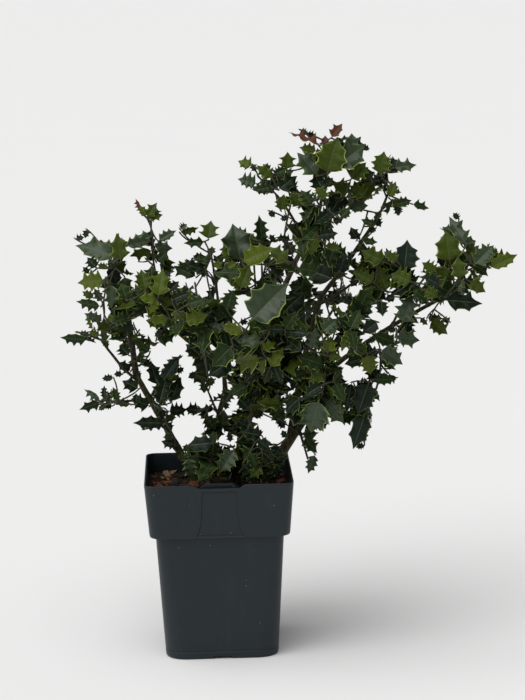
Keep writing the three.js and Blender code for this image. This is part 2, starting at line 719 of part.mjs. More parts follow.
// Grows one mass: its stem and side twigs first, then its leaves, as far as they fit.
function growMass(cell, index, fits) {
  const draw = randomStream(GROWTH.seed + 101 * index);
  const twigs = [];
  const leaves = [];
  const leafLength = GROWTH.leafBase + GROWTH.leafShare * cell.reach;

  const tryLeaf = (twig, place, turn) => {
    const root = twig.start.clone().addScaledVector(twig.along, place);
    const length = leafLength * THREE.MathUtils.lerp(...GROWTH.leafSpread, draw());
    const tilt = GROWTH.leafRoll * (2 * draw() - 1);
    for (const size of GROWTH.leafSizes) {
      for (const swing of GROWTH.leafTurns) {
        for (const angle of GROWTH.leafAngles) {
          const aim = branchOff(twig.along, angle, turn + swing);
          const leaf = leafFrame(root, aim, twig.along, size * length, tilt);
          if (fits.leaf(cell, leaf, twig)) {
            leaves.push(leaf);
            return;
          }
        }
      }
    }
  };

  const stemLength = cell.core + GROWTH.stemOverrun;
  const bare = GROWTH.twigStart * stemLength;
  const firstTurn = 360 * draw();
  twigs.push({
    start: cell.start,
    along: cell.along,
    length: stemLength,
    radius: GROWTH.twigRadius,
    leafy: GROWTH.stemLeafStart * stemLength,
    turn: firstTurn + 60,
  });
  const count = Math.max(2, Math.round((stemLength - bare) / GROWTH.twigSpacing));
  for (let i = 0; i < count; i += 1) {
    const place = bare + ((stemLength - bare) * i) / count;
    const turn = firstTurn + i * GROWTH.turn;
    const spread = THREE.MathUtils.lerp(...GROWTH.twigSpread, draw());
    const length = GROWTH.twigShare * cell.reach * spread;
    const angle = GROWTH.twigAngle + GROWTH.twigAngleSpread * (draw() - 0.5);
    for (const swing of GROWTH.leafTurns) {
      const twig = {
        start: cell.start.clone().addScaledVector(cell.along, place),
        along: branchOff(cell.along, angle, turn + swing),
        length,
        radius: GROWTH.sideTwigRadius,
        leafy: GROWTH.twigLeafStart * length,
        turn: turn + 90,
      };
      if (fits.twig(cell, twig)) {
        twigs.push(twig);
        break;
      }
    }
  }
  fits.startMass(twigs);
  for (const twig of twigs) {
    const places = Math.max(1, Math.round((twig.length - twig.leafy) / GROWTH.leafSpacing));
    for (let i = 0; i <= places; i += 1) {
      const leafyLength = twig.length - GROWTH.leafEnd - twig.leafy;
      tryLeaf(twig, twig.leafy + (leafyLength * i) / places, twig.turn + i * GROWTH.turn);
    }
    tryLeaf(twig, twig.length - GROWTH.lastLeafEnd, twig.turn + (places + 1) * GROWTH.turn);
  }
  return { twigs, leaves };
}

function twigSolid({ start, along, length, radius }) {
  const end = start.clone().addScaledVector(along, length);
  const line = new THREE.LineCurve3(start, end);
  return taperedTube(line, TWIG_SIDES, 1, (share) => THREE.MathUtils.lerp(...radius, share));
}

// ---------------------------------------------------------------------------
// Assembly
// ---------------------------------------------------------------------------

const group = new THREE.Group();

function addNode(name, solid, colour, roughness, metalness = 0) {
  const material = new THREE.MeshStandardMaterial({ color: colour, roughness, metalness });
  const mesh = new THREE.Mesh(toGeometry(solid), material);
  mesh.name = name;
  group.add(mesh);
}

const pot = makePot();
addNode('pot', pot, COLOURS.pot, 0.45);
addNode('soil', makeSoil(), COLOURS.soil, 0.95);

const { solids: limbSolids, keepClear } = makeLimbs();
for (const [name, solid] of Object.entries(limbSolids)) addNode(name, solid, COLOURS.bark, 0.8);

// Foliage keeps clear of the limbs and of the pot with a margin round its walls.
const wallBand = (inset, over) => squareLoft([
  collarLevel(SOIL_LEVEL - over, inset),
  collarLevel(POT.height + over, inset),
]);
const potMargin = wallBand(-POT_MARGIN.outside, 1).subtract(wallBand(POT_MARGIN.inside, 2));
const obstacles = keepClear.add(potMargin);

const touches = (solid, other) => !solid.intersect(other).isEmpty();

let twigSolids = new Map();
let grownLeaves = null;

const fits = {
  startMass: (twigs) => {
    twigSolids = new Map(twigs.map((twig) => [twig, twigSolid(twig)]));
    grownLeaves = null;
  },
  twig: (cell, twig) => {
    const spots = [0.4, 0.7, 1].map((share) => (
      twig.start.clone().addScaledVector(twig.along, share * twig.length)
    ));
    return spots.every((point) => isOwn(cell, point)) && !touches(twigSolid(twig), obstacles);
  },
  leaf: (cell, leaf, twig) => {
    if (!leafSamples(leaf).every((point) => isOwn(cell, point))) return false;
    const blade = leafSolid(leaf);
    if (touches(blade, obstacles) || (grownLeaves && touches(blade, grownLeaves))) return false;
    for (const [other, solid] of twigSolids) {
      if (other !== twig && touches(blade, solid)) return false;
    }
    grownLeaves = grownLeaves ? grownLeaves.add(blade) : blade;
    return true;
  },
};

cells.forEach((cell, index) => {
  const { twigs, leaves } = growMass(cell, index, fits);
  const whole = unionOf([...twigSolids.values(), ...leaves.map(leafSolid)]);
  const mass = largestPiece(whole.subtract(keepClear)).simplify(0.02);
  addNode(cell.name, mass, COLOURS.leaf, 0.35);
});

export default group;
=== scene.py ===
"""A young holly in a square nursery pot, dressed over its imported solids.

Sizes in the tables are millimetres and degrees, as the plant's plan gives them. Meshes are
made in metres. The plant grows in three steps: stems and boughs, then the twigs of each
mass, then their leaves, each as far as it fits.
"""

import json
import math

import bmesh
import bpy
import numpy as np
from bpy.props import (
    FloatProperty,
    FloatVectorProperty,
    IntProperty,
    PointerProperty,
)
from bpy.types import Operator, Panel, PropertyGroup
from mathutils import Matrix, Quaternion, Vector, noise
from mathutils.bvhtree import BVHTree

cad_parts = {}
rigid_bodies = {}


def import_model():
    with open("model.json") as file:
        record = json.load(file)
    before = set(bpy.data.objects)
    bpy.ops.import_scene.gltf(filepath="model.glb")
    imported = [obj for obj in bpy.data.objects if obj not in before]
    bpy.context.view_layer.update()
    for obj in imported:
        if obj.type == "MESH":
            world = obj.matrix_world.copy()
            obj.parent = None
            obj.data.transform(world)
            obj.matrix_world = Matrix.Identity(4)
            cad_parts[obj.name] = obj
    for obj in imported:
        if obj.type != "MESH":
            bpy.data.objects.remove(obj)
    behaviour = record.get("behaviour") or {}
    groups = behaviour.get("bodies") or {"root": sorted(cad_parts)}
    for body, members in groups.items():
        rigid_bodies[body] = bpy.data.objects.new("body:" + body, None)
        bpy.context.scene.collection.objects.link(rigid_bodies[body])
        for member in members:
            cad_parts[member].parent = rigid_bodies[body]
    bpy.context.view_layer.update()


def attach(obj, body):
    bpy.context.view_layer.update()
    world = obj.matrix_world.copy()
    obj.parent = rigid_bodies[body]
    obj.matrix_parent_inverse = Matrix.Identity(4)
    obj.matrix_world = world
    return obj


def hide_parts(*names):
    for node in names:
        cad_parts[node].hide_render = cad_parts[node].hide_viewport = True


bl_info = {
    "name": "Potted Holly",
    "version": (1, 0, 0),
    "blender": (4, 5, 0),
    "location": "View3D > Sidebar > Holly",
    "description": "Builds a young holly with spiny leaves in a square nursery pot",
    "category": "Add Mesh",
}

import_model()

MM = 0.001
UP = Vector((0, 0, 1))

# --- Plan of the plant ---

SOIL_LEVEL = 165


def stem(foot, heading, rise, length, radius, flare, side=0, lift=0):
    """One row of the stems' table: where it stands, the way it leans, its bow and its thickness."""
    return dict(
        foot=foot, heading=heading, rise=rise, length=length, side=side, lift=lift, radius=radius,
        flare=flare,
    )


STEMS = {
    "stem_left": stem((-24, 44), -151, 61, 137, (4.4, 2.7), 2.2),
    "stem_rear_left": stem((-17, 52), 12, 73, 95, (3.8, 2.6), 1.8, side=-5),
    "stem_centre": stem((17, 4), -6, 81, 121, (4.8, 3.4), 2.4, side=2, lift=-1),
    "stem_right": stem((46, 31), 6, 54, 85, (6.4, 4.4), 3.0, side=4, lift=-3),
    "stem_back": stem((27, 60), 53, 75, 150, (4.0, 2.6), 2.0, lift=6),
}


def bough(on, at, heading, rise, length, lift, radius, side=0):
    """One row of the boughs' table: it springs from a limb, at a share of that limb's length."""
    return dict(
        on=on, at=at, heading=heading, rise=rise, length=length, side=side, lift=lift, radius=radius, flare=0,
    )


BOUGHS = {
    "bough_left_leader": bough("stem_left", 1, -149, 82, 84, 3, (2.5, 1.7)),
    "bough_left_side": bough("stem_left", 0.9, -147, 48, 69, -4, (1.7, 1.2)),
    "bough_left_low": bough("stem_left", 0.72, -152, 8, 41, 2, (1.5, 1.1)),
    "bough_inner_left": bough("stem_centre", 0.8, -159, 44, 108, 2, (2.9, 1.9)),
    "bough_left_spire": bough("bough_inner_left", 0.72, 132, 45, 73, 5, (1.7, 1.2)),
    "bough_front_left": bough("bough_inner_left", 0.3, -109, 37, 83, -4, (1.8, 1.3)),
    "bough_rear_left": bough("stem_rear_left", 1, -114, 82, 98, 4, (2.4, 1.6)),
    "bough_centre": bough("stem_centre", 1, 0, 66, 173, 6, (3.3, 2.2)),
    "bough_centre_front": bough("bough_centre", 0.1, -91, 35, 78, -4, (2.0, 1.3)),
    "bough_upper_left": bough("bough_centre", 0.82, 160, 58, 55, 3, (1.5, 1.1)),
    "bough_upper_front": bough("bough_centre", 0.68, -83, 33, 55, -3, (1.7, 1.2)),
    "bough_upper_back": bough("bough_centre", 0.6, 93, 25, 67, -3, (1.8, 1.2)),
    "bough_right_leader": bough("stem_right", 0.6, -34, 75, 162, 8, (3.4, 2.6), side=-3),
    "bough_upper_right": bough("bough_right_leader", 1, -4, 54, 101, -2, (2.5, 1.7)),
    "bough_mid_right": bough("bough_right_leader", 0.93, -42, 30, 54, -1, (1.6, 1.2)),
    "bough_far_right": bough("bough_right_leader", 0.28, -10, 34, 190, 7, (3.2, 1.7), side=-2),
    "bough_right_up": bough("bough_far_right", 0.62, -75, 37, 45, 0, (1.5, 1.1)),
    "bough_right_low": bough("bough_far_right", 0.34, -53, 11, 52, 3, (1.6, 1.2)),
    "bough_front_right": bough("bough_right_leader", 0.55, -79, 21, 88, -3, (1.9, 1.3)),
    "bough_low_right": bough("stem_right", 0.7, -77, 40, 91, 3, (1.7, 1.2)),
    "bough_back_mid_left": bough("stem_back", 0.6, 145, 45, 82, 5, (2.0, 1.4)),
    "bough_back_right": bough("stem_back", 0.72, 20, 28, 92, 5, (2.1, 1.4)),
}


def mass(on, at, heading, rise, length, reach, tones=(5, 3, 2, 0, 0)):
    """One row of the masses' table. The tones are shares of dark, mid, olive, young and bronze."""
    return dict(on=on, at=at, heading=heading, rise=rise, length=length, reach=reach, tones=tones)


MASSES = {
    "leaves_left_tip": mass("bough_left_side", 1, -172, 21, 48, 31),
    "leaves_left_low": mass("bough_left_low", 1, -176, -4, 38, 26),
    "leaves_left_foot": mass("stem_left", 0.52, -160, -8, 44, 30),
    "leaves_left_crown": mass("bough_left_leader", 1, -171, 71, 72, 48, (4, 3, 3, 1, 0)),
    "leaves_left_fork": mass("stem_left", 0.76, 17, 58, 66, 30),
    "leaves_inner_left": mass("bough_inner_left", 1, -154, 60, 72, 40),
    "leaves_left_spire": mass("bough_left_spire", 1, 153, 84, 96, 29, (4, 3, 3, 1, 0)),
    "leaves_front_left": mass("bough_front_left", 1, -116, 65, 77, 40),
    "leaves_rear_left": mass("bough_rear_left", 1, -153, 82, 81, 42),
    "leaves_low_left": mass("stem_rear_left", 0.7, -136, 63, 57, 29),
    "leaves_low_front": mass("stem_centre", 0.26, -146, 2, 60, 34),
    "leaves_low_centre": mass("stem_centre", 0.42, -48, -10, 60, 35),
    "leaves_centre_mid": mass("stem_centre", 0.88, -63, 34, 134, 41),
    "leaves_centre_front": mass("bough_centre_front", 1, -110, 83, 92, 43, (4, 3, 3, 0, 0)),
    "leaves_upper_left": mass("bough_upper_left", 1, 174, 46, 53, 36),
    "leaves_top": mass("bough_centre", 1, -11, 79, 112, 48, (2, 3, 4, 1, 1)),
    "leaves_upper_front": mass("bough_upper_front", 1, -24, 44, 62, 40),
    "leaves_upper_back": mass("bough_upper_back", 1, 60, 62, 82, 43),
    "leaves_upper_right": mass("bough_upper_right", 1, 4, 68, 69, 45, (3, 3, 3, 1, 0)),
    "leaves_mid_right": mass("bough_mid_right", 1, -10, 36, 76, 41),
    "leaves_right_tip": mass("bough_far_right", 1, -4, 60, 92, 49, (3, 3, 4, 1, 0)),
    "leaves_right_up": mass("bough_right_up", 1, -23, 52, 64, 38),
    "leaves_right_low": mass("bough_right_low", 1, 153, -73, 106, 40),
    "leaves_front_right": mass("bough_front_right", 1, -47, 33, 75, 43),
    "leaves_low_right": mass("bough_low_right", 1, -75, 5, 65, 40),
    "leaves_hanging": mass("stem_right", 0.8, -63, -59, 51, 24, (3, 4, 3, 0, 0)),
    "leaves_back_left": mass("stem_left", 0.95, 100, 52, 132, 45),
    "leaves_back_mid_left": mass("bough_back_mid_left", 1, 120, 60, 84, 47),
    "leaves_back_centre": mass("stem_back", 1, 84, 72, 111, 49, (4, 3, 3, 1, 0)),
    "leaves_back_right": mass("bough_back_right", 1, 48, 55, 86, 47),
    "leaves_back_low": mass("stem_back", 0.42, 81, 14, 92, 43),
}

# The growth rule. Lengths are millimetres and angles are degrees unless a line says otherwise.
SEED = 41
SEED_STEP = 101                 # from one mass's seed to the next
LEAF_SEED_STEP = 50021          # from a mass's seed for twigs to its seed for leaves
TURN = 137.5                    # from one leaf or twig to the next round its stem
TIP_INSET = 0.85                # of the reach, from the end of a mass's line to its tip
LEAST_CORE = 0.4                # of a mass's length, the least its line takes up
STEM_OVERRUN = 4
TWIG_SPACING = 16
TWIG_ANGLE = 52
TWIG_ANGLE_SPREAD = 16
TWIG_SHARE = 0.36               # length of a side twig as a share of the reach
TWIG_SPREAD = (0.8, 1.2)
TWIG_START = 0.15
STEM_LEAF_START = 0.3
TWIG_LEAF_START = 0.3
TWIG_RADIUS = (1.6, 1.0)
SIDE_TWIG_RADIUS = (1.15, 0.8)
FINE_TWIG_RADIUS = (0.85, 0.6)
FINE_TWIG_ANGLE = 47
FINE_TWIG_SHARE = 0.62          # length of a fine twig as a share of its side twig
FINE_TWIG_PLACES = (0.45, 0.75)
LEAST_TWIG = 6
SIDE_TWIG_SAG = 0.08            # how far a twig's middle hangs, as a share of its length
FINE_TWIG_SAG = 0.1
LEAD_ON = 0.3                   # how much a mass's main twig first leads on from its bough
TIP_MATCH = 0.96                # its radius at a bough's tip, as a share of the bough's
LEAF_SPACING = 4
LEAF_ANGLES = (58, 42, 74)
LEAF_TURNS = (0, 40, -40, 80, -80, 120, -120, 165)
LEAF_SIZES = (1, 0.8, 0.62, 0.48)
TIP_LEAVES = 3
TIP_LEAF_ANGLE = 38
TIP_LEAF_OPEN = 14              # what each further leaf at a tip leans out more
TIP_LEAF_SWING = 16             # what such a leaf leans out more where it doesn't fit
TIP_LEAF_GAP = 1.5
TIP_BARE = (2, 5)               # bare wood past the tip's leaves, and past those down the length
LEAF_BASE = 24                  # leaf length is LEAF_BASE + LEAF_SHARE * reach
LEAF_SHARE = 0.5
LEAF_SPREAD = (0.86, 1.14)
LEAF_ROLL = 0.75                # most a leaf rolls about its midrib, in radians
LEAF_RANGES = dict(             # the ranges that each leaf draws its own shape from
    width=(0.56, 0.74), spine=(0.6, 1.2), fold=(0.05, 0.42), cushion=(0.06, 0.2),
    droop=(0.04, 0.24), wave=(0.04, 0.11), twist=(-0.5, 0.5),
)
SPINE_HOOK = 0.03               # how far a spine's point sweeps forward
SPINE_SIZE = 0.28               # what a spine that sweeps so far adds to the half width
SPINE_ROOT = 0.4                # share of the half width where it starts to sweep
END_ON = 0.75                   # a leaf doesn't point more straight at the front, or away, than this
FACE_FORWARD = 0.75
FACE_UP = 0.5
NEIGHBOUR_SLACK = -0.35         # of the reach, how far leaves may mingle with the next mass
SOIL_CLEARANCE = 2.5
WALL_DEPTH = 9.5                # from the collar's face in to the back of the label holders
WALL_CLEARANCE = 1
RIM_CLEARANCE = 1.5
TWIG_CLEARANCE = 1.6
LIMB_CLEARANCE = 0.3

# Half a leaf's outline from its stalk to its tip: share of length, half width of the body,
# what a spine adds to that, and how far the margin waves up or down there.
LONG_COLUMNS = (
    (0.015, 0.05, 0.00, 0.0),
    (0.085, 0.05, 0.00, 0.0),
    (0.145, 0.44, 0.00, 0.0),
    (0.225, 0.68, 0.30, 1.0),
    (0.290, 0.70, -0.06, -0.4),
    (0.370, 0.74, -0.13, -0.9),
    (0.465, 0.82, 0.30, 1.0),
    (0.540, 0.74, -0.08, -0.6),
    (0.620, 0.68, -0.13, -0.8),
    (0.715, 0.58, 0.33, 1.0),
    (0.790, 0.38, -0.05, -0.4),
    (0.885, 0.17, 0.00, 0.0),
)
BROAD_COLUMNS = (
    (0.015, 0.05, 0.00, 0.0),
    (0.085, 0.05, 0.00, 0.0),
    (0.145, 0.42, 0.00, 0.0),
    (0.215, 0.68, 0.08, 0.4),
    (0.290, 0.84, 0.30, 1.0),
    (0.360, 0.80, -0.08, -0.4),
    (0.450, 0.78, -0.15, -0.9),
    (0.550, 0.77, -0.11, -0.5),
    (0.645, 0.74, 0.32, 1.0),
    (0.715, 0.57, -0.04, -0.5),
    (0.805, 0.37, -0.06, -0.7),
    (0.895, 0.16, 0.00, 0.0),
)
STALK_COLUMNS = 2
LEAF_ROWS = (-1, -0.92, -0.45, -0.035, 0.035, 0.45, 0.92, 1)
LEAF_THICKNESS = 0.006          # of the leaf's length, each side of the middle
TWIST_START = 0.3               # of the leaf's length, where its twist is level
SLIM_SHARE = 0.8                # of its width, how much of a leaf keeps clear of the next


# --- Plan of the front view ---

# The front view is this many units wide and high, counted from its top left corner. At the
# stems a unit is close to a millimetre.
VIEW_WIDTH, VIEW_HEIGHT = 525, 700
CAMERA_SPOT = (-24.15, -2264.6, 726.88)
CAMERA_TURN = -1.83
CAMERA_PITCH = 10.48
CAMERA_ROLL = -1.10
CAMERA_LENS = 116.37
FILM_HEIGHT = 36

# The crown's edge as the front shows it.
CROWN_OUTLINE = (
    (58, 338), (78, 330), (91, 331), (84, 312), (103, 319), (107, 311), (90, 309), (68, 302), (82, 290),
    (95, 300), (90, 290), (76, 282), (84, 272), (80, 263), (88, 256), (99, 266), (110, 257), (98, 251),
    (72, 239), (89, 228), (95, 237), (108, 237), (114, 244), (115, 232), (122, 230), (127, 238),
    (136, 237), (144, 229), (149, 232), (147, 219), (138, 211), (134, 199), (149, 209), (156, 201),
    (164, 208), (163, 216), (150, 220), (157, 240), (159, 230), (176, 227), (182, 218), (201, 227),
    (210, 218), (218, 221), (211, 239), (217, 256), (223, 244), (222, 231), (234, 222), (249, 233),
    (254, 233), (258, 215), (267, 218), (268, 234), (278, 235), (292, 236), (284, 222), (264, 214),
    (272, 208), (286, 217), (275, 207), (273, 196), (262, 195), (244, 189), (236, 178), (250, 171),
    (236, 161), (243, 153), (253, 164), (268, 165), (279, 170), (287, 151), (294, 157), (294, 170),
    (300, 178), (299, 187), (313, 193), (318, 185), (302, 173), (296, 156), (300, 147), (317, 146),
    (303, 135), (289, 130), (309, 127), (318, 138), (329, 135), (329, 126), (343, 121), (337, 135),
    (355, 132), (372, 143), (368, 153), (357, 151), (358, 162), (366, 160), (372, 170), (376, 166),
    (375, 154), (393, 153), (398, 160), (419, 163), (412, 171), (388, 175), (396, 180), (402, 191),
    (398, 199), (412, 198), (431, 208), (404, 209), (398, 217), (385, 216), (384, 224), (376, 231),
    (360, 242), (378, 243), (391, 250), (409, 238), (418, 262), (415, 273), (423, 270), (421, 263),
    (431, 258), (439, 268), (441, 250), (436, 239), (440, 227), (456, 226), (448, 214), (462, 212),
    (466, 231), (484, 246), (490, 241), (519, 252), (518, 258), (491, 270), (481, 278), (486, 294),
    (468, 289), (484, 303), (466, 312), (452, 309), (432, 308), (420, 317), (434, 320), (438, 314),
    (452, 319), (448, 336), (428, 326), (411, 324), (426, 342), (399, 345), (406, 362), (390, 366),
    (400, 376), (397, 387), (373, 382), (380, 401), (371, 404), (372, 422), (364, 453), (354, 449),
    (352, 432), (354, 417), (346, 424), (332, 421), (318, 437), (320, 450), (312, 474), (303, 471),
    (312, 453), (302, 440), (305, 424), (286, 444), (284, 482), (184, 482), (174, 448), (161, 446),
    (163, 435), (176, 440), (168, 427), (133, 425), (148, 415), (161, 420), (150, 411), (120, 408),
    (79, 411), (98, 401), (82, 389), (102, 398), (104, 385), (94, 376), (119, 371), (131, 371),
    (116, 362), (134, 367), (120, 353), (98, 344),
)

# Spots inside the crown where the sky shows: centre and radius.
SKY_SPOTS = (
    (245, 169, 4), (253, 175, 4), (257, 180, 3), (280, 193, 4), (279, 213, 4), (276, 228, 8),
    (284, 233, 4), (280, 246, 6), (273, 251, 3), (98, 256, 7), (106, 255, 5), (90, 253, 3),
    (129, 257, 4), (136, 253, 5), (144, 249, 3), (133, 265, 5), (142, 266, 4), (154, 265, 5),
    (180, 252, 8), (191, 249, 6), (173, 257, 4), (168, 238, 4), (174, 240, 4), (180, 234, 5),
    (191, 231, 6), (204, 236, 3), (218, 241, 4), (195, 276, 6), (205, 283, 6), (175, 284, 4),
    (181, 279, 3), (210, 268, 4), (223, 285, 5), (199, 294, 4), (218, 296, 3), (255, 270, 7),
    (260, 264, 4), (253, 286, 4), (129, 282, 5), (104, 273, 4), (101, 293, 5), (292, 278, 5),
    (297, 162, 5), (308, 180, 7), (313, 186, 4), (304, 185, 5), (320, 203, 3), (329, 190, 2),
    (333, 202, 4), (343, 169, 8), (350, 165, 5), (336, 175, 4), (361, 156, 4), (373, 207, 7),
    (371, 216, 4), (356, 216, 5), (364, 227, 5), (383, 196, 3), (342, 236, 6), (350, 244, 5),
    (340, 227, 4), (330, 243, 3), (309, 262, 3), (336, 262, 3), (357, 258, 3), (326, 283, 5),
    (340, 281, 3), (348, 279, 3), (355, 290, 4), (448, 285, 4), (465, 251, 2), (467, 273, 3),
    (421, 281, 3), (140, 322, 5), (145, 329, 5), (153, 330, 4), (93, 325, 3), (105, 336, 3),
    (115, 345, 4), (135, 355, 3), (148, 354, 3), (161, 353, 8), (160, 363, 5), (178, 345, 7),
    (172, 351, 4), (184, 350, 3), (189, 361, 4), (201, 360, 3), (143, 370, 4), (128, 374, 5),
    (149, 384, 6), (153, 391, 4), (146, 378, 4), (118, 387, 6), (111, 383, 4), (122, 396, 5),
    (130, 393, 6), (143, 395, 4), (187, 371, 4), (188, 388, 9), (195, 395, 8), (183, 398, 8),
    (211, 392, 4), (207, 400, 3), (219, 385, 6), (219, 406, 4), (234, 403, 5), (184, 425, 8),
    (182, 434, 6), (183, 441, 4), (192, 424, 5), (199, 427, 5), (169, 412, 3), (152, 414, 4),
    (264, 421, 7), (270, 424, 4), (277, 431, 5), (278, 439, 4), (265, 436, 3), (224, 441, 4),
    (212, 350, 3), (220, 354, 3), (237, 318, 4), (244, 315, 4), (243, 305, 4), (241, 299, 3),
    (220, 315, 3), (305, 301, 2), (326, 313, 4), (331, 317, 3), (343, 306, 3), (376, 317, 3),
    (381, 325, 3), (393, 320, 7), (388, 316, 5), (368, 336, 3), (383, 344, 3), (396, 303, 4),
    (390, 306, 3), (427, 314, 6), (356, 371, 7), (362, 371, 5), (347, 374, 4), (340, 362, 3),
    (380, 368, 3), (398, 369, 4), (291, 419, 4), (289, 428, 3), (298, 450, 9), (304, 445, 6),
    (300, 460, 8), (293, 213, 6), (298, 220, 3), (351, 225, 5), (346, 219, 3), (205, 246, 5),
    (164, 247, 3), (298, 265, 3), (354, 443, 4),
)

